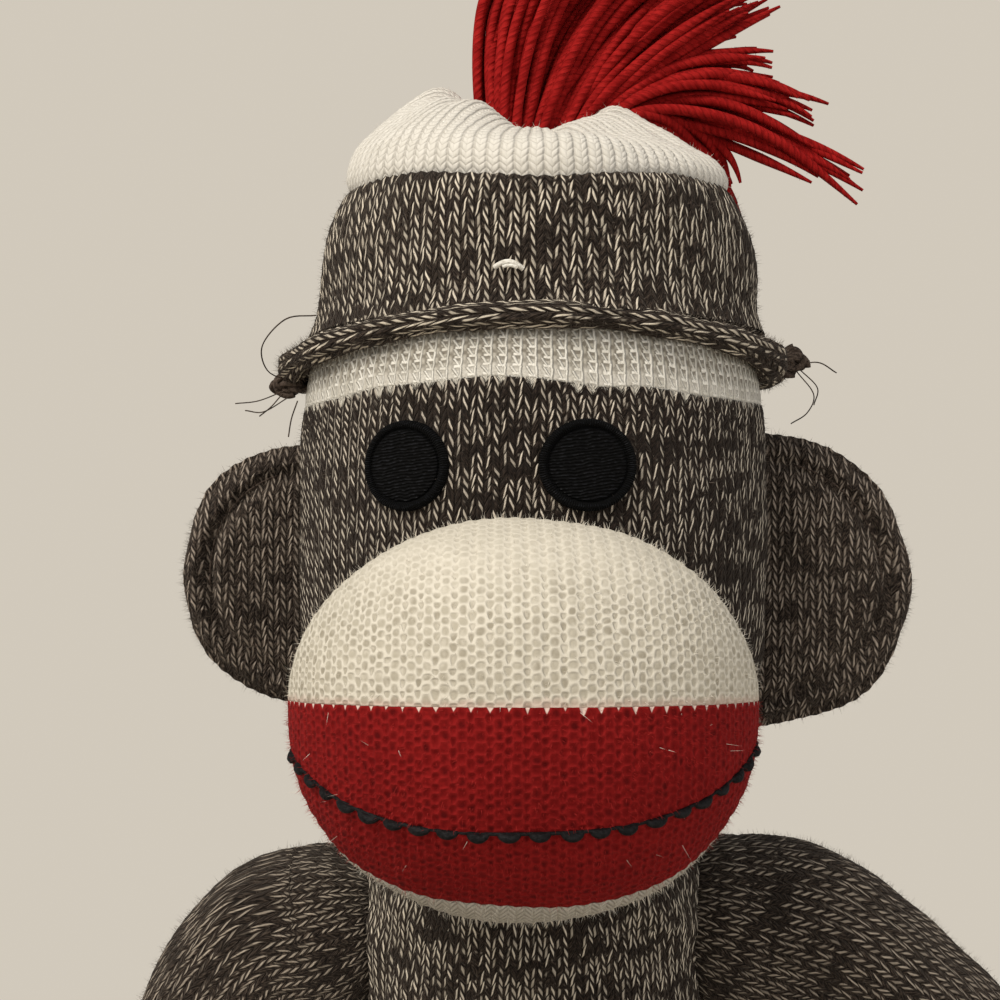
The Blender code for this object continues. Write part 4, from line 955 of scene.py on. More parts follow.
def lipPlace(x, z):
    # the angle and turn on the lip for a place seen from the front
    lift = np.zeros(x.shape)
    for _ in range(12):
        across = (x - muzzle["centre"][0]) / muzzle["halfWidth"]
        up = (muzzle["centre"][2] + lift - z) / muzzle["drop"]
        power = muzzle["fullness"]
        size = (np.abs(across) ** power + np.abs(up) ** power) ** (1 / power)
        angle = np.arcsin(np.minimum(size, 1))
        lift = muzzle["lift"] * np.cos(angle)
        sine = -((np.abs(up) / size) ** (power / 2))
        cosine = np.sign(across) * (np.abs(across) / size) ** (power / 2)
        turn = np.arctan2(sine, cosine)
    return angle, turn


def lipNormals(angle, turn):
    step = 0.01
    a = muzzlePoints(angle + step, turn) - muzzlePoints(angle - step, turn)
    b = muzzlePoints(angle, turn + step) - muzzlePoints(angle, turn - step)
    normal = np.cross(a, b)
    normal /= np.linalg.norm(normal, axis=1)[:, None]
    outwards = muzzlePoints(angle, turn) - np.array(muzzle["centre"])
    return normal * np.sign((normal * outwards).sum(1))[:, None]


def makeMouth():
    part = np.sin(np.linspace(-1, 1, 400) * np.pi / 2)
    x = muzzle["centre"][0] + mouth["halfWidth"] * part
    z = mouth["height"] + mouth["cornerRise"] * np.abs(part) ** 3.2 + mouth["slant"] * part
    angle, turn = lipPlace(x, z)
    line = muzzlePoints(angle, turn)
    normals = lipNormals(angle, turn)
    run = runOf(line)
    chance = random.Random(mouth["seed"])
    # a thin thread runs under the row of fat stitches
    routes = [(line + normals * 0.0001, mouth["bedRadius"])]
    count = round(run[-1] / mouth["pitch"])
    share = np.linspace(0, 1, 9)
    bulge = np.sin(np.pi * share) ** 0.6
    for k in range(count):
        start = run[-1] * (k + 0.10 + chance.uniform(-0.06, 0.06)) / count
        end = run[-1] * (k + 0.78 + chance.uniform(-0.08, 0.08)) / count
        distance = np.linspace(start, end, len(share))
        lift = along(normals, run, distance) * (mouth["bulge"] * bulge)[:, None]
        points = along(line, run, distance) + lift
        points[:, 2] -= mouth["sag"] * bulge * chance.uniform(0.7, 1.3)
        fat = np.sin(np.pi * np.clip(share * 0.92 + 0.04, 0, 1)) ** 0.7
        routes.append((points, mouth["radius"] * (0.35 + 0.75 * fat)))
    stitches = threads("mouthStitches", routes, "black", 2)
    stands(stitches, "head", ("mouth_stitch",))


makeMouth()
print("mouth ready")


# eyes
eyes = {
    "height": 0.2237,
    "radius": 0.0083,
    "squash": 0.93,
    "borderWidth": 0.0014,
    "Right": {"x": -0.0221, "size": 0.985, "node": "eye_right"},
    "Left": {"x": 0.0079, "size": 0.98, "node": "eye_left"},
}


def makeEye(side):
    eye = eyes[side]
    around = float(headRadius(eyes["height"]))
    turnTo = math.asin(eye["x"] / around)
    size = eyes["radius"] * eye["size"]
    width = eyes["borderWidth"]

    def place(s, t):
        # the last rows turn in under the patch
        reach = np.minimum(t * 1.08, 1.0)
        turn = 2 * np.pi * s
        radius = size * reach
        edge = size - radius
        border = np.exp(-(((edge - width / 2) / (width * 0.42)) ** 2))
        groove = np.exp(-(((edge - width * 1.15) / 0.00025) ** 2))
        lift = 0.0008 + 0.0003 * np.clip(edge / 0.003, 0, 1) + 0.00055 * border - 0.00035 * groove
        lift = np.where(t > 0.926, -0.0006, np.where(edge <= 1e-9, 0.0004, lift))
        height = eyes["height"] + radius * np.sin(turn) * eyes["squash"]
        out = headRadius(height) + lift
        angle = turnTo + radius * np.cos(turn) / around
        points = np.stack([out * np.sin(angle), -out * np.cos(angle), height], 1)
        return points, np.stack([s, reach], 1)

    patch = knitPiece("eye" + side, 96, 54, place, "satin")
    stands(patch, "head", (eye["node"],))


makeEye("Right")
makeEye("Left")
print("eyes ready")


# ears
ears = {
    "Left": {
        "sign": 1, "reach": 0.0750, "half": 0.0300, "middle": 0.2015,
        "nodes": ("ear_left", "ear_left_padding")},
    "Right": {
        "sign": -1, "reach": 0.0692, "half": 0.0262, "middle": 0.2030,
        "nodes": ("ear_right", "ear_right_padding")},
    "thick": 0.0050,
    "setback": 0.0030,
    "sunk": 0.0006,
    "cup": 0.0025,
    "roundness": 2.3,
    "topstitch": 0.0056,
    "topstitchWidth": 0.0016,
    "fill": 0.5,
    "stitchPitch": 0.0026,
    "stitchRadius": 0.00016,
}


def earRoot(z):
    # how far from the middle the ear leaves the head
    return np.sqrt(np.maximum((headRadius(z) - ears["sunk"]) ** 2 - ears["setback"] ** 2, 0))


def earPoints(ear, share, turn):
    # share runs from the head to the rim, turn round the ear's section
    fall = np.maximum(1 - share ** ears["roundness"], 0) ** (1 / ears["roundness"])
    z = ear["middle"] + ear["half"] * fall * np.sin(turn)
    near = earRoot(z)
    x = near + (ear["reach"] - near) * share
    # distance from the rim, measured on the flat ear
    outwards = (x - near) / (ear["reach"] - near.mean())
    spread = np.sqrt(outwards**2 + ((z - ear["middle"]) / ear["half"]) ** 2)
    inside = np.clip(1 - spread, 0, 1) * ear["half"]
    seam = np.exp(-(((inside - ears["topstitch"]) / ears["topstitchWidth"]) ** 2))
    puff = np.sqrt(np.clip(inside / 0.0035, 0, 1))
    thick = ears["thick"] * (0.25 + 0.75 * puff) * (1 - 0.50 * seam)
    face = np.cos(turn)
    y = ears["setback"] - ears["cup"] * share**2 + thick * np.sign(face) * np.abs(face) ** 0.6
    return np.stack([ear["sign"] * x, y, z], 1)


def makeEar(side):
    ear = ears[side]

    def place(s, t):
        points = earPoints(ear, np.sin(t * np.pi / 2), 2 * np.pi * s)
        return points, np.stack([points[:, 0] / knit["wale"], points[:, 2] / knit["course"]], 1)

    def relief(p, k, s, t):
        return (ribs(k, 0.0001) + lumps(p, 0.0003, 2.0)) * (t < 0.98)

    cover = knitPiece("ear" + side, 220, 90, place, "marlEar", relief, ear["sign"])
    closeRoot(cover)
    stands(cover, "head", ear["nodes"])
    # the topstitch follows the rim, a little inside it
    turn = np.linspace(-0.10, 1.30, 160)
    shrink = 1 - ears["topstitch"] / ear["half"]
    z = ear["middle"] + ear["half"] * shrink * np.sin(turn)
    near = earRoot(z)
    x = near + (ear["reach"] - near) * shrink * np.cos(turn) ** 0.9
    share = (x - near) / (ear["reach"] - near)
    y = ears["setback"] - ears["cup"] * share**2 - ears["thick"] * 0.60
    line = np.stack([ear["sign"] * x, y, z], 1)
    run = runOf(line)
    routes = []
    count = round(run[-1] / ears["stitchPitch"])
    bow = 0.00045 * np.sin(np.pi * np.linspace(0, 1, 7)) - 0.0002
    for k in range(count):
        distance = np.linspace(run[-1] * (k + 0.05) / count, run[-1] * (k + 0.92) / count, len(bow))
        points = along(line, run, distance)
        points[:, 1] -= bow
        routes.append((points, ears["stitchRadius"]))
    stitches = threads("earStitches" + side, routes, "brown", 1)
    stands(stitches, "head")


def closeRoot(piece):
    # the open end inside the head is filled
    bpy.context.view_layer.objects.active = piece
    piece.select_set(True)
    bpy.ops.object.mode_set(mode="EDIT")
    bpy.ops.mesh.select_all(action="DESELECT")
    bpy.ops.mesh.select_non_manifold()
    bpy.ops.mesh.fill()
    bpy.ops.mesh.select_all(action="SELECT")
    bpy.ops.mesh.normals_make_consistent(inside=False)
    bpy.ops.object.mode_set(mode="OBJECT")
    clearSelection()


makeEar("Left")
makeEar("Right")
print("ears ready")


# hat
hat = {
    "bandTop": 0.2722,
    "bandWales": 104,
    "leanFrom": 0.2580,
    "leanIn": 0.0052,
    "leanUp": 0.0060,
    "aside": 0.0010,
    "brimHeight": 0.2484,
    "brimDrop": 0.0045,
    "brimRadius": 0.0021,
    "cornerRadius": 0.0033,
    "crownWales": 104,
    "crownWall": 0.0014,
    "knots": (("Right", (-0.0478, -0.004, 0.2405)), ("Left", (0.0500, -0.006, 0.2440))),
    "knotYarn": 0.00062,
    "looseYarn": 0.00013,
}


def brimSize(turn):
    side = np.abs(np.sin(turn))
    radius = hat["brimRadius"] + (hat["cornerRadius"] - hat["brimRadius"]) * side**8
    height = hat["brimHeight"] - hat["brimDrop"] * side**2
    return radius, height


def makeBrim():
    def place(s, t):
        turn = 2 * np.pi * t + np.pi
        lean = 2 * np.pi * s
        radius, height = brimSize(turn)
        radius = radius * (1 + 0.06 * np.sin(7 * turn + 1) + 0.05 * np.sin(17 * turn))
        out = headRadius(height - radius * 0.3) + radius * 0.98 + 0.0001
        away = out + radius * np.cos(lean)
        points = np.stack([away * np.sin(turn), -away * np.cos(turn), height + radius * np.sin(lean)], 1)
        return points, np.stack([s * 6, t * 114], 1)

    def relief(p, k, s, t):
        return ribs(k, 0.00018) + lumps(p, 0.00025, 3.0)

    brim = knitPiece("hatBrim", 36, 520, place, "marl", relief)
    stands(brim, "head", ("hat_brim",))


def leanCuff(points):
    # the cuff stands higher and leans in at both sides
    x, y, z = points.T.copy()
    reach = np.maximum(np.hypot(x, y), 1e-6)
    side = (x / reach) ** 2
    up = np.clip((z - hat["leanFrom"]) / (hat["bandTop"] - hat["leanFrom"]), 0, 1)
    less = 1 - side * up**2 * hat["leanIn"] / reach
    return np.stack([x * less + hat["aside"], y * less, z + side * up * hat["leanUp"]], 1)


def makeBand():
    line = curveThrough([
        (0.0446, 0.2492), (0.0434, 0.2525), (0.0429, 0.2570), (0.0428, 0.2630), (0.0427, 0.2675),
        (0.0423, 0.2710), (0.0412, 0.2722), (0.0402, 0.2712), (0.0400, 0.2660), (0.0408, 0.2580),
        (0.0418, 0.2510), (0.0430, 0.2484), (0.0446, 0.2492),
    ])
    place, length = turnedPlace(line, hat["bandWales"], knit["course"], None, leanCuff)
    across, up = counts(hat["bandWales"], length, knit["course"])

    def relief(p, k, s, t):
        return ribs(k) + lumps(p, 0.00035, 5.0)

    band = knitPiece("hatBand", across, up, place, "marl", relief)
    stands(band, "head", ("hat_band",))


# outline of the crown at six angles from the front, as (radius, height):
# it sags in front and peaks at both sides
crownLines = (
    (-90, (
        (0.0362, 0.2768), (0.0374, 0.2792), (0.0372, 0.2820), (0.0359, 0.2855), (0.0335, 0.2888),
        (0.0303, 0.2922), (0.0260, 0.2962), (0.0212, 0.2994), (0.0172, 0.2996), (0.0130, 0.2968),
        (0.0090, 0.2925), (0.0045, 0.2885), (0.0, 0.2872))),
    (-45, (
        (0.0384, 0.2740), (0.0393, 0.2760), (0.0391, 0.2787), (0.0376, 0.2824), (0.0345, 0.2862),
        (0.0302, 0.2898), (0.0250, 0.2922), (0.0200, 0.2928), (0.0160, 0.2918), (0.0120, 0.2900),
        (0.0080, 0.2884), (0.0040, 0.2875), (0.0, 0.2872))),
    (0, (
        (0.0408, 0.2712), (0.0414, 0.2728), (0.0414, 0.2748), (0.0404, 0.2774), (0.0375, 0.2796),
        (0.0325, 0.2813), (0.0270, 0.2830), (0.0215, 0.2846), (0.0165, 0.2857), (0.0120, 0.2866),
        (0.0080, 0.2871), (0.0040, 0.2872), (0.0, 0.2872))),
    (45, (
        (0.0384, 0.2740), (0.0392, 0.2757), (0.0388, 0.2776), (0.0370, 0.2797), (0.0340, 0.2817),
        (0.0300, 0.2841), (0.0255, 0.2872), (0.0205, 0.2906), (0.0165, 0.2914), (0.0120, 0.2896),
        (0.0080, 0.2880), (0.0040, 0.2874), (0.0, 0.2872))),
    (90, (
        (0.0362, 0.2770), (0.0369, 0.2788), (0.0361, 0.2810), (0.0337, 0.2838), (0.0302, 0.2867),
        (0.0265, 0.2894), (0.0225, 0.2922), (0.0185, 0.2955), (0.0152, 0.2976), (0.0118, 0.2958),
        (0.0080, 0.2905), (0.0040, 0.2878), (0.0, 0.2872))),
    (180, (
        (0.0408, 0.2712), (0.0415, 0.2745), (0.0412, 0.2790), (0.0395, 0.2840), (0.0355, 0.2890),
        (0.0305, 0.2922), (0.0250, 0.2938), (0.0200, 0.2940), (0.0160, 0.2928), (0.0120, 0.2905),
        (0.0080, 0.2885), (0.0040, 0.2875), (0.0, 0.2872))),
)


def makeCrown():
    angles = [angle for angle, _ in crownLines] + [270]
    lines = [curveThrough(line, 90) for _, line in crownLines]
    lines = np.array([*lines, lines[0]])
    wales = hat["crownWales"]

    def place(s, t):
        turn = 360 * s - 90
        part = np.interp(turn, angles, range(len(angles)))
        first = np.minimum(part.astype(int), len(angles) - 2)
        blend = part - first
        blend = (blend * blend * (3 - 2 * blend))[:, None]
        spot = np.clip(t, 0, 1) * 89
        near = np.minimum(spot.astype(int), 88)
        rest = (spot - near)[:, None]
        low = lines[first, near] * (1 - rest) + lines[first, near + 1] * rest
        high = lines[first + 1, near] * (1 - rest) + lines[first + 1, near + 1] * rest
        radius, height = (low * (1 - blend) + high * blend).T
        way = np.radians(turn)
        slack = np.exp(-(((radius - 0.020) / 0.010) ** 2))
        height = height + slack * (0.0005 * np.cos(15 * way + 0.6) + 0.0003 * np.cos(23 * way))
        # the tassel pulls the middle to one side
        aside = 0.0010 - 0.0045 * np.exp(-((radius / 0.012) ** 2))
        points = np.stack([radius * np.sin(way) + aside, -radius * np.cos(way), height], 1)
        return points, np.stack([s * wales, t * 0.052 / 0.00135], 1)

    across, up = counts(wales, 0.052, 0.0016)

    def relief(p, k, s, t):
        return ribs(k, -0.00015) + lumps(p, 0.00045, 1.0)

    crown = knitPiece("hatCrown", across, up, place, "white", relief)
    giveWall(crown, hat["crownWall"])
    stands(crown, "head", ("hat_crown",))


looseEnds = (
    ((-0.038, -0.034, 0.2497), (-0.044, -0.030, 0.2496), (-0.0500, -0.020, 0.2462),
     (-0.0505, -0.012, 0.2425), (-0.0470, -0.008, 0.2410)),
    ((-0.0480, -0.006, 0.2395), (-0.0530, -0.008, 0.2372), (-0.0580, -0.006, 0.2368)),
    ((-0.0480, -0.005, 0.2380), (-0.0525, -0.006, 0.2352), (-0.0565, -0.004, 0.2356)),
    ((-0.0490, -0.005, 0.2388), (-0.0510, -0.006, 0.2362), (-0.0535, -0.005, 0.2344)),
    ((0.0505, -0.006, 0.2440), (0.0550, -0.008, 0.2446), (0.0592, -0.006, 0.2428)),
    ((0.0515, -0.006, 0.2430), (0.0545, -0.007, 0.2385), (0.0535, -0.006, 0.2350), (0.0508, -0.004, 0.2330)),
    ((0.0520, -0.006, 0.2435), (0.0552, -0.007, 0.2398), (0.0548, -0.006, 0.2365)),
    ((-0.0452, -0.010, 0.2370), (-0.0462, -0.011, 0.2335), (-0.0466, -0.012, 0.2300)),
)


def makeHatDetails():
    # a white tack stitch holds the cuff
    x = np.linspace(-0.0073, -0.0026, 9)
    share = np.linspace(0, 1, 9)
    bow = np.sin(np.pi * share)
    y = -np.sqrt(0.0434**2 - x**2) - 0.0004 - 0.0007 * bow
    tack = np.stack([x, y, 0.2562 + 0.0009 * bow - 0.0004 * share], 1)
    second = tack[2:7] + np.array([0.0002, -0.0005, -0.0007])
    stitch = threads("hatTack", [(tack, 0.00045), (second, 0.0003)], "tack", 2)
    stands(stitch, "head", ("hat_tack",))
    # the side seams of the cuff end in tangled knots with loose threads
    chance = random.Random(5)
    for side, middle in hat["knots"]:
        routes = []
        for k in range(9):
            turn = np.linspace(0, chance.uniform(4, 7), 26)
            tilt = chance.uniform(0, 2 * np.pi)
            radius = chance.uniform(0.0012, 0.0025)
            loop = np.stack([np.cos(turn), np.sin(turn) * math.cos(tilt), np.sin(turn) * math.sin(tilt)], 1)
            drift = np.stack([np.sin(turn * 0.7 + k), np.cos(turn * 0.9 + k), np.sin(turn * 0.5)], 1) * 0.0008
            offset = np.array([chance.uniform(-1, 1) * 0.0012 for _ in range(3)])
            routes.append((np.array(middle) + loop * radius + drift + offset, hat["knotYarn"]))
        knot = threads("hatKnot" + side, routes, "brown", 1)
        stands(knot, "head")
    routes = [(curveThrough(points, 30), hat["looseYarn"]) for points in looseEnds]
    loose = threads("hatThreads", routes, "brown", 1)
    stands(loose, "head")


makeBrim()
makeBand()
makeCrown()
makeHatDetails()
print("hat ready")


# tassel: strands of plied yarn that rise from the crown and fall to one side
tassel = {
    "root": (-0.0038, 0.0004, 0.2868),
    "strand": 0.00100,
    "sides": 6,
    "steps": 42,
    "plyLength": 0.0046,
    "softTop": 0.3262,
    "room": 0.0078,
    "seed": 21,
    "offset": 0.0171,
    "lockWidth": 0.0030,
    "lockDepth": 0.0056,
    # where a lock leaves the crown, its two bends as (x, z), its tip, how far tips stray, and its strands
    "locks": (
        (-0.0030, (-0.0100, 0.3080), (-0.0070, 0.3270), (0.0045, 0.0040, 0.3310), 0.0030, 17),
        (-0.0020, (-0.0074, 0.3110), (-0.0030, 0.3340), (0.0120, 0.0100, 0.3290), 0.0035, 18),
        (-0.0010, (-0.0055, 0.3110), (0.0020, 0.3360), (0.0200, 0.0020, 0.3290), 0.0035, 18),
        (0.0008, (-0.0015, 0.3100), (0.0085, 0.3340), (0.0265, -0.0020, 0.3280), 0.0035, 18),
        (0.0030, (0.0030, 0.3090), (0.0140, 0.3320), (0.0320, 0.0060, 0.3260), 0.0035, 18),
        (0.0055, (0.0075, 0.3075), (0.0190, 0.3280), (0.0370, 0.0000, 0.3240), 0.0030, 18),
        (0.0080, (0.0115, 0.3060), (0.0235, 0.3235), (0.0410, 0.0040, 0.3215), 0.0028, 18),
        (0.0100, (0.0150, 0.3045), (0.0270, 0.3180), (0.0430, -0.0020, 0.3190), 0.0024, 18),
        (0.0118, (0.0190, 0.3025), (0.0330, 0.3120), (0.0465, -0.0040, 0.3175), 0.0014, 15),
        (0.0135, (0.0215, 0.3030), (0.0330, 0.3085), (0.0425, 0.0010, 0.3060), 0.0024, 17),
        (0.0150, (0.0220, 0.3020), (0.0350, 0.3045), (0.0470, -0.0020, 0.3005), 0.0022, 17),
        (0.0165, (0.0240, 0.3010), (0.0400, 0.3025), (0.0565, -0.0020, 0.2935), 0.0016, 15),
        (0.0178, (0.0250, 0.2985), (0.0430, 0.2950), (0.0655, -0.0010, 0.2802), 0.0012, 11),
        (0.0188, (0.0250, 0.2965), (0.0370, 0.2925), (0.0395, 0.0080, 0.2800), 0.0020, 17),
        (0.0170, (0.0240, 0.2950), (0.0390, 0.2920), (0.0435, 0.0150, 0.2715), 0.0016, 10),
        (0.0040, (0.0080, 0.3060), (0.0210, 0.3200), (0.0360, 0.0160, 0.3110), 0.0040, 18),
        (0.0110, (0.0170, 0.3010), (0.0300, 0.3110), (0.0420, 0.0140, 0.3080), 0.0035, 15),
    ),
}


def tasselLines():
    chance = random.Random(tassel["seed"])
    root = np.array(tassel["root"])
    for place, first, second, tip, stray, count in tassel["locks"]:
        heading = np.array([second[0] - first[0], second[1] - first[1]])
        heading /= np.linalg.norm(heading)
        square = np.array([-heading[1], 0, heading[0]])
        for k in range(count):
            turn = chance.uniform(0, 2 * math.pi)
            out = math.sqrt(chance.random())
            aside = tassel["lockWidth"] * out * math.cos(turn)
            deep = tassel["lockDepth"] * out * math.sin(turn)
            sideways = place - aside
            rise = sideways * (0.33 if sideways > 0 else -0.70)
            start = root + np.array([sideways, deep, rise - 0.0012])
            end = np.array(tip) + square * aside
            end = end + np.array([chance.gauss(0, stray), chance.gauss(0, stray), chance.gauss(0, stray * 0.8)])
            near = np.array([first[0], deep * 1.3 - 0.001, first[1]]) + square * aside * 1.1
            far = np.array([second[0], (deep + end[1]) * 0.75, second[1]]) + square * aside * 1.2
            far = far + chance.gauss(0, 0.0009)
            t = np.linspace(0, 1 - 0.20 * chance.random() ** 2, tassel["steps"])[:, None]
            rest = 1 - t
            line = start * rest**3 + near * 3 * t * rest**2 + far * 3 * t**2 * rest + end * t**3
            wave = 0.0005 * np.sin(t * 8 + k) * t
            line = line + np.hstack([wave, -wave, wave * 0.5])
            over = np.maximum(line[:, 2] - tassel["softTop"], 0)
            soft = tassel["room"] * np.tanh(over / tassel["room"])
            line[:, 2] = np.minimum(line[:, 2], tassel["softTop"]) + soft
            yield line


def makeTassel():
    clearSelection()
    bpy.ops.curve.primitive_bezier_circle_add()
    section = bpy.context.object
    section.name = "plySection"
    section.data.splines.clear()
    ring = section.data.splines.new("POLY")
    ring.points.add(tassel["sides"] - 1)
    ring.use_cyclic_u = True
    for k in range(tassel["sides"]):
        turn = 2 * math.pi * k / tassel["sides"]
        ring.points[k].co = (math.cos(turn), math.sin(turn), 0, 1)
    routes, runs = [], []
    for line in tasselLines():
        run = runOf(line)
        share = run / run[-1]
        thin = 0.72 * np.clip((share - 0.72) / 0.28, 0, 1) ** 1.3
        full = 0.85 + 0.15 * np.clip(share / 0.15, 0, 1)
        routes.append((line, tassel["strand"] * (1 - thin) * full))
        # no two strands show the same stretch of yarn
        runs.append(run + tassel["offset"] * len(runs))
    strands = threads("tasselStrands", routes, "yarn", section=section)
    bpy.data.objects.remove(section)
    layTurns(strands.data, np.concatenate(runs))
    stands(strands, "hat_tassel", ("tassel",))


def layTurns(mesh, run):
    # all rings have the same number of corners, and those of the caps come first,
    # so a corner's number says how far along it lies
    sides = tassel["sides"]
    while mesh.uv_layers:
        mesh.uv_layers.remove(mesh.uv_layers[0])
    mesh.uv_layers.new(name="knit")
    corner = readAll(mesh.loops, "vertex_index", kind=int)
    sizes = readAll(mesh.polygons, "loop_total", kind=int)
    owner = np.repeat(np.arange(len(sizes)), sizes)
    spot = corner % sides
    last = np.zeros(len(sizes), bool)
    first = np.zeros(len(sizes), bool)
    last[owner[spot == sides - 1]] = True
    first[owner[spot == 0]] = True
    # a face that closes the ring ends at a full turn
    wraps = (last & first & (sizes == 4))[owner]
    spot = np.where(wraps & (spot == 0), sides, spot)
    caps = len(mesh.vertices) - len(run) * sides
    turns = run[np.maximum(corner - caps, 0) // sides] / tassel["plyLength"]
    mesh.uv_layers["knit"].data.foreach_set("uv", np.stack([spot / sides, turns], 1).ravel())


makeTassel()
print("tassel ready")


# body
body = {
    "halfWidth": 0.0400,
    "height": 0.1590,
    "depthShare": 0.86,
    "wales": 96,
    "outline": (
        (0.000, 0.000), (0.420, 0.001), (0.680, 0.008), (0.840, 0.040), (0.950, 0.110), (1.000, 0.230),
        (1.000, 0.380), (0.965, 0.520), (0.920, 0.660), (0.895, 0.780), (0.875, 0.860), (0.820, 0.920),
        (0.760, 0.945),
    ),
    "shoulder": (0.0420, 0.0, 0.1310),
    "armRadius": 0.0175,
    "hip": (-0.0280, 0.0200),
    "legRadius": 0.0205,
    "fill": 0.85,
    "tail": (0.0395, 0.0150),
    "tailRadius": 0.0080,
    "heelCourse": 0.0016,
    "heelWall": 0.0013,
    "heelRise": 0.0006,
}


def bodyDeep(height):
    part = np.clip((height / body["height"] - 0.80) / 0.15, 0, 1)
    return body["depthShare"] + (1 - body["depthShare"]) * part * part * (3 - 2 * part)


def makeRoomInBody(points):
    # the cloth gives way round the shoulders, the lap and the tail
    x, y, z = points.T.copy()
    reach = body["armRadius"] + 0.0014
    for sign in (1, -1):
        left = reach**2 - y**2 - (z - body["shoulder"][2]) ** 2
        limit = body["shoulder"][0] - np.sqrt(np.maximum(left, 0))
        hit = (left > 0) & (x * sign > limit) & (np.abs(z - body["shoulder"][2]) < reach)
        x = np.where(hit, sign * limit, x)
    reach = body["legRadius"] + 0.0012
    lean = math.radians(45)
    back = body["hip"][0] + np.sqrt(np.maximum(reach**2 - (z - body["hip"][1]) ** 2, 0))
    cut = body["hip"][0] + reach * math.cos(lean) - (z - body["hip"][1] - reach * math.sin(lean))
    limit = np.where(z < body["hip"][1] + reach * math.sin(lean), back, cut)
    limit = np.where(z < body["hip"][1], body["hip"][0] + reach, limit)
    y = np.where((y < limit) & (z < 0.075), np.minimum(limit, 0.030), y)
    reach = body["tailRadius"] + 0.0006
    left = reach**2 - x**2 - (z - body["tail"][1]) ** 2
    limit = body["tail"][0] - np.sqrt(np.maximum(left, 0))
    y = np.where((left > 0) & (y > limit), limit, y)
    return np.stack([x, y, np.maximum(z, 0.0002)], 1)


bodyLine = curveThrough([(r * body["halfWidth"], z * body["height"]) for r, z in body["outline"]])
bodyLine[:, 0] = np.maximum(bodyLine[:, 0], 0)
bowlReach = head["ballRadius"] + 0.0006
bowlLine = ballArc(bowlReach, 47, 0)
bodyTop = curveThrough([(0.0304, 0.15025), (0.0280, 0.1528), (0.0240, 0.1550), (0.0200, 0.1562)], 30)
bodyCover = np.vstack([bodyLine, bodyTop[1:], bowlLine])


def bodyRelief(p, k, s, t):
    nearNeck = np.exp(-(((p[:, 2] - 0.146) / 0.010) ** 2))
    creases = 0.00045 * np.sin(p[:, 2] * 520 + 12 * p[:, 0] / 0.03) * nearNeck
    fromNeck = np.linalg.norm(p - np.array([0, 0, head["pivotHeight"]]), axis=1)
    clear = np.clip((fromNeck - bowlReach) / 0.003 - 0.3, 0, 1)
    keep = np.clip((p[:, 2] - 0.0012) / 0.004, 0, 1) * clear
    return (ribs(k) + lumps(p, 0.0006) + creases) * keep


def makeBody():
    place, length = turnedPlace(bodyCover, body["wales"], knit["course"], bodyDeep, makeRoomInBody)
    across, up = counts(body["wales"], length, knit["course"])

    cover = knitPiece("bodyCover", across, up, place, "marl", bodyRelief)
    stands(cover, "torso", ("body_cover", "body_stuffing"))
    # the red heel under and behind the body
    base, _ = turnedPlace(bodyLine, body["wales"], body["heelCourse"], bodyDeep, makeRoomInBody)

    def heel(s, t):
        turn = 2 * np.pi * s
        sideways = 0.12 * t * np.cos(turn)
        upwards = t * np.sin(turn)
        share = np.where(upwards > 0, 0.115 + 0.150 * upwards, 0.115 + 0.045 * upwards)
        sides = sideways * (1.25 - 0.4 * np.clip(share / 0.3, 0, 1))
        points, stitches = base(sides, share)
        points[:, 1] = np.maximum(points[:, 1], 0.012)
        return points, stitches

    def relief(p, k, s, t):
        return bodyRelief(p, k, s, t) + body["heelRise"]

    patch = knitPiece("seatPatch", 160, 60, heel, "heel", relief, -1)
    giveWall(patch, body["heelWall"])
    stands(patch, "torso", ("seat_patch",))


def makeNeck():
    line = np.array([
        (0.0196, 0.1570), (0.0212, 0.1558), (0.0232, 0.1560), (0.0246, 0.1576), (0.0250, 0.1600),
        (0.0245, 0.1616), (0.0236, 0.1618), (0.0228, 0.1604), (0.0211, 0.1584), (0.0196, 0.1570),
    ])
    line = curveThrough(line, 120)
    place, _ = turnedPlace(line, 60, knit["course"])

    def relief(p, k, s, t):
        return 0.00035 * np.cos(2 * np.pi * s * 22)

    gather = knitPiece("neckGather", 240, 24, place, "marl", relief)
    stands(gather, "neck", ("neck_gather",))


makeBody()
makeNeck()
print("body ready")


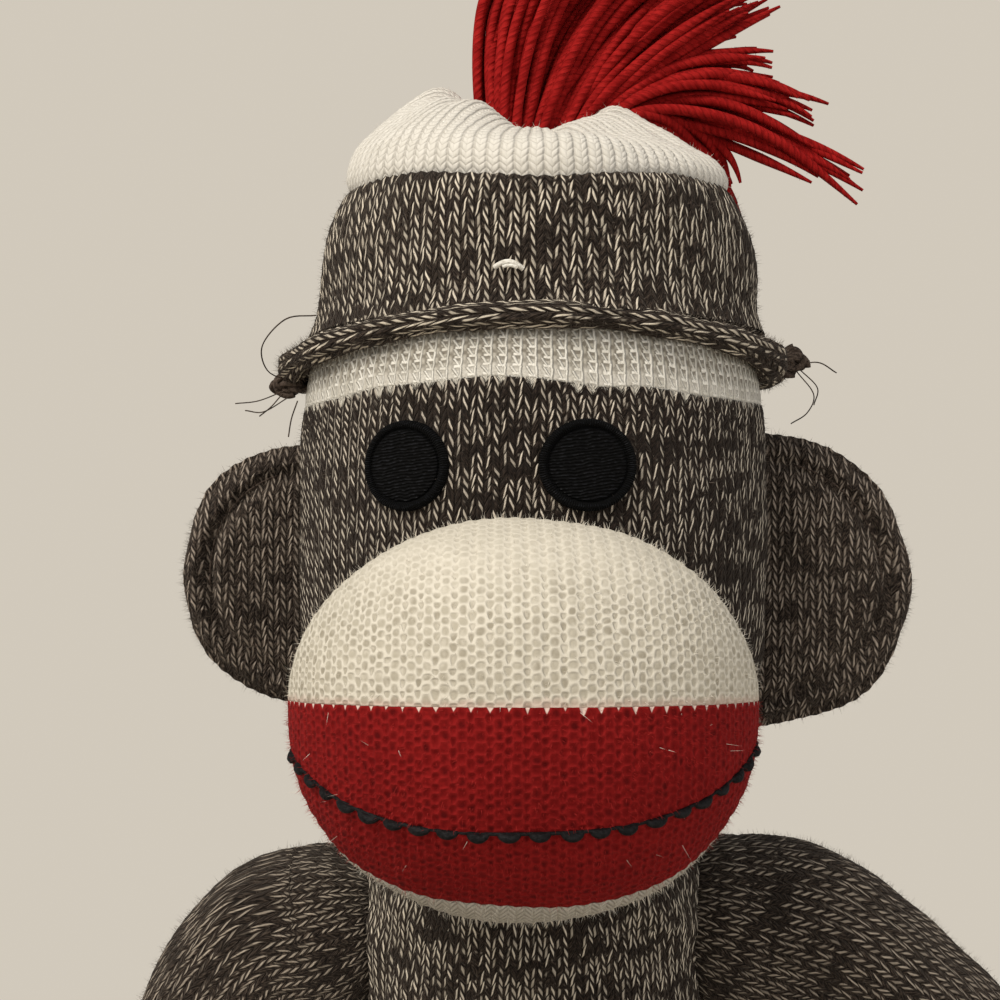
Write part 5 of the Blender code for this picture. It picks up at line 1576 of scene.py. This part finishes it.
# arms, legs and tail
armGirth = ((0.0, 1.0), (0.16, 1.03), (0.40, 0.97), (0.64, 0.91), (0.76, 0.90), (0.90, 1.03), (1.0, 1.03))
limbs = {
    "armLeft": {
        "pivot": (0.042, 0, 0.131), "length": 0.190, "radius": 0.0175, "split": 0.76, "wales": 44,
        "puff": 0.0036, "body": "left_arm", "nodes": ("arm_left", "arm_left_stuffing"),
        "end": ("handLeft", "hand_left"),
        "way": (
            (0.000, 0.000, 0.000), (0.074, 0.000, -0.023), (0.153, -0.004, -0.071), (0.208, -0.014, -0.123),
            (0.258, -0.030, -0.195), (0.295, -0.056, -0.295), (0.315, -0.098, -0.405), (0.320, -0.172, -0.512),
            (0.314, -0.270, -0.578), (0.302, -0.385, -0.597)),
        "girth": armGirth,
    },
    "armRight": {
        "pivot": (-0.042, 0, 0.131), "length": 0.190, "radius": 0.0175, "split": 0.76, "wales": 44,
        "body": "right_arm", "nodes": ("arm_right", "arm_right_stuffing"), "end": ("handRight", "hand_right"),
        "way": (
            (0.000, 0.000, 0.000), (-0.050, 0.000, -0.018), (-0.095, -0.002, -0.092), (-0.120, -0.014, -0.210),
            (-0.143, -0.042, -0.326), (-0.161, -0.090, -0.442), (-0.174, -0.180, -0.542), (-0.174, -0.302, -0.588),
            (-0.163, -0.430, -0.597)),
        "girth": armGirth,
    },
    "legLeft": {
        "pivot": (0.022, -0.028, 0.020), "length": 0.196, "radius": 0.0205, "split": 0.74, "wales": 50,
        "body": "left_leg", "nodes": ("leg_left", "leg_left_stuffing"), "end": ("footLeft", "foot_left"),
        "way": (
            (0.000, 0.000, 0.000), (0.010, -0.112, 0.000), (0.026, -0.255, -0.002), (0.046, -0.434, -0.008),
            (0.064, -0.602, -0.010), (0.082, -0.765, -0.006), (0.097, -0.893, 0.000)),
        "girth": ((0.0, 1.0), (0.20, 1.0), (0.45, 0.94), (0.66, 0.89), (0.76, 0.89), (0.90, 1.0), (1.0, 1.0)),
    },
    "tail": {
        "pivot": (0, 0.0395, 0.015), "length": 0.245, "radius": 0.0090, "split": 0.86, "wales": 23,
        "body": "tail_body", "nodes": ("tail", "tail_stuffing"), "end": ("tailTip", "tail_tip"),
        "way": (
            (0.000, 0.000, 0.000), (0.000, 0.050, -0.012), (0.004, 0.100, -0.024), (0.016, 0.180, -0.0265),
            (0.045, 0.270, -0.0265), (0.095, 0.345, -0.0265), (0.160, 0.385, -0.0265), (0.225, 0.372, -0.0265),
            (0.262, 0.315, -0.0265), (0.270, 0.225, -0.0265), (0.262, 0.135, -0.0265)),
        "girth": ((0.0, 0.88), (0.10, 0.94), (0.25, 1.0), (0.80, 1.0), (1.0, 0.98)),
    },
}
limbs["legRight"] = dict(
    limbs["legLeft"], pivot=(-0.022, -0.028, 0.020), body="right_leg", nodes=("leg_right", "leg_right_stuffing"),
    end=("footRight", "foot_right"), way=tuple((-x, y, z) for x, y, z in limbs["legLeft"]["way"]))


def makeLimb(name, limb):
    line = curveThrough(np.array(limb["pivot"]) + np.array(limb["way"]) * limb["length"], 500)
    total = runOf(line)[-1]
    stations, girths = np.array(limb["girth"]).T
    distance = np.linspace(0, total, 200)
    radius = limb["radius"] * np.interp(distance / total, stations, girths)
    cut = total * limb["split"]
    atCut = float(np.interp(cut, distance, radius))
    main = distance < cut
    root = roundEnd(0, radius[0], -1)[::-1]
    lid = np.array([[cut, atCut], [cut + 0.0001, atCut * 0.90], [cut - 0.0006, 0]])
    profile = np.vstack([root[:-1], np.stack([distance, radius], 1)[main], lid])
    place, length = tubePlace(line, profile, limb["wales"], knit["course"])
    across, up = counts(limb["wales"], length, knit["course"])

    def relief(p, k, s, t):
        fromRoot = np.linalg.norm(p - np.array(limb["pivot"]), axis=1)
        folds = np.exp(-(((fromRoot - limb["radius"] * 1.25) / (limb["radius"] * 0.45)) ** 2))
        folds = folds * np.cos(2 * np.pi * s * 7 + 1.3) * limb["radius"] * 0.030
        keep = np.clip((p[:, 2] - 0.0015) / 0.003, 0, 1)
        # the shoulder is fuller or flatter on its upper side
        aside = np.abs(p[:, 0] - limb["pivot"][0])
        upper = np.clip((p[:, 2] - limb["pivot"][2] + 0.32 * aside) / limb["radius"], 0, 1)
        puff = limb.get("puff", 0.0) * upper * np.exp(-(((aside - 0.014) / 0.017) ** 2))
        free = np.clip((fromRoot / limb["radius"] - 1.0) / 0.5, 0, 1)
        return (ribs(k) + lumps(p, 0.00045, 6.0) * free + folds * (0.4 + 0.6 * free) + puff) * keep

    cover = knitPiece(name + "Cover", across, up, place, "marlDull", relief)
    stands(cover, limb["body"], limb["nodes"])
    far = roundEnd(total, radius[-1], 1)
    lid = np.array([[cut + 0.0002, 0], [cut + 0.0003, atCut * 0.90], [cut + 0.0002, atCut]])
    profile = np.vstack([lid, np.stack([distance, radius], 1)[distance > cut + 0.0002], far[1:]])
    place, length = tubePlace(line, profile, limb["wales"], knit["whiteCourse"])
    across, up = counts(limb["wales"], length, knit["whiteCourse"])

    def tipRelief(p, k, s, t):
        return (ribs(k, 0.00012) + lumps(p, 0.0004, 8.0)) * np.clip((p[:, 2] - 0.0015) / 0.003, 0, 1)

    tip = knitPiece(limb["end"][0], across, up, place, "white", tipRelief)
    stands(tip, limb["body"], (limb["end"][1],))


for limbName in ("armLeft", "armRight", "legLeft", "legRight", "tail"):
    makeLimb(limbName, limbs[limbName])
print("limbs ready")


# fuzz: short fibres that stand off the cloth
fuzz = {"thick": 0.000042, "rooted": 0.0003, "lowest": 0.004}


def makeFuzz(name, sources, count, length, look, body, seed, lowest=fuzz["lowest"]):
    chance = np.random.default_rng(seed)
    starts, normals = [], []
    for source in sources:
        mesh = bpy.data.objects[source].data
        areas = readAll(mesh.polygons, "area")
        picked = chance.choice(len(areas), count // len(sources), p=areas / areas.sum())
        starts.append(readAll(mesh.polygons, "center", 3)[picked])
        normals.append(readAll(mesh.polygons, "normal", 3)[picked])
    starts = np.vstack(starts)
    normals = np.vstack(normals)
    keep = starts[:, 2] > lowest
    starts, normals = starts[keep], normals[keep]
    number = len(starts)
    lean = chance.normal(0, 0.9, (number, 3))
    way = normals + lean * 0.75
    way /= np.linalg.norm(way, axis=1)[:, None]
    side = np.cross(way, chance.normal(0, 1, (number, 3)))
    side /= np.linalg.norm(side, axis=1)[:, None]
    other = np.cross(way, side)
    reach = length * chance.uniform(0.35, 1.0, number)[:, None]
    wide, high = side * fuzz["thick"], other * fuzz["thick"]
    bend = normals * reach * 0.15
    base = starts - normals * fuzz["rooted"]
    tip = starts + way * reach + bend
    corners = np.stack([base + wide, base - wide * 0.5 + high, base - wide * 0.5 - high, tip], 1)
    points = corners.reshape(-1, 3)
    first = np.arange(number)[:, None] * 4
    faces = np.stack([first + [0, 2, 1], first + [0, 1, 3], first + [1, 2, 3], first + [2, 0, 3]], 1)
    mesh = bpy.data.meshes.new(name)
    mesh.from_pydata(points.tolist(), [], faces.reshape(-1, 3).tolist())
    fibres = bpy.data.objects.new(name, mesh)
    bpy.context.scene.collection.objects.link(fibres)
    mesh.materials.append(looks[look])
    stands(fibres, body)


makeFuzz("headFuzz", ("headCover", "hatBand", "hatBrim"), 21000, 0.0016, "fuzzDark", "head", 1)
makeFuzz("earFuzz", ("earLeft", "earRight"), 13000, 0.0017, "fuzzDark", "head", 2)
makeFuzz("bodyFuzz", ("bodyCover",), 9000, 0.0016, "fuzzDark", "torso", 3, 0.050)
makeFuzz("armLeftFuzz", ("armLeftCover",), 11000, 0.0018, "fuzzDark", "left_arm", 4)
makeFuzz("armRightFuzz", ("armRightCover",), 11000, 0.0018, "fuzzDark", "right_arm", 5)
makeFuzz("lipFuzz", ("muzzleLip",), 7500, 0.0012, "fuzzRed", "head", 6)
makeFuzz("lipLint", ("muzzleLip",), 60, 0.0026, "fuzzPale", "head", 9)
paleCovers = ("hatCrown", "muzzleUpper", "headTop", "muzzleRim")
makeFuzz("crownFuzz", paleCovers, 12500, 0.0013, "fuzzPale", "head", 7)
makeFuzz("tasselFuzz", ("tasselStrands",), 14000, 0.0015, "fuzzRed", "hat_tassel", 8)
print("fuzz ready")
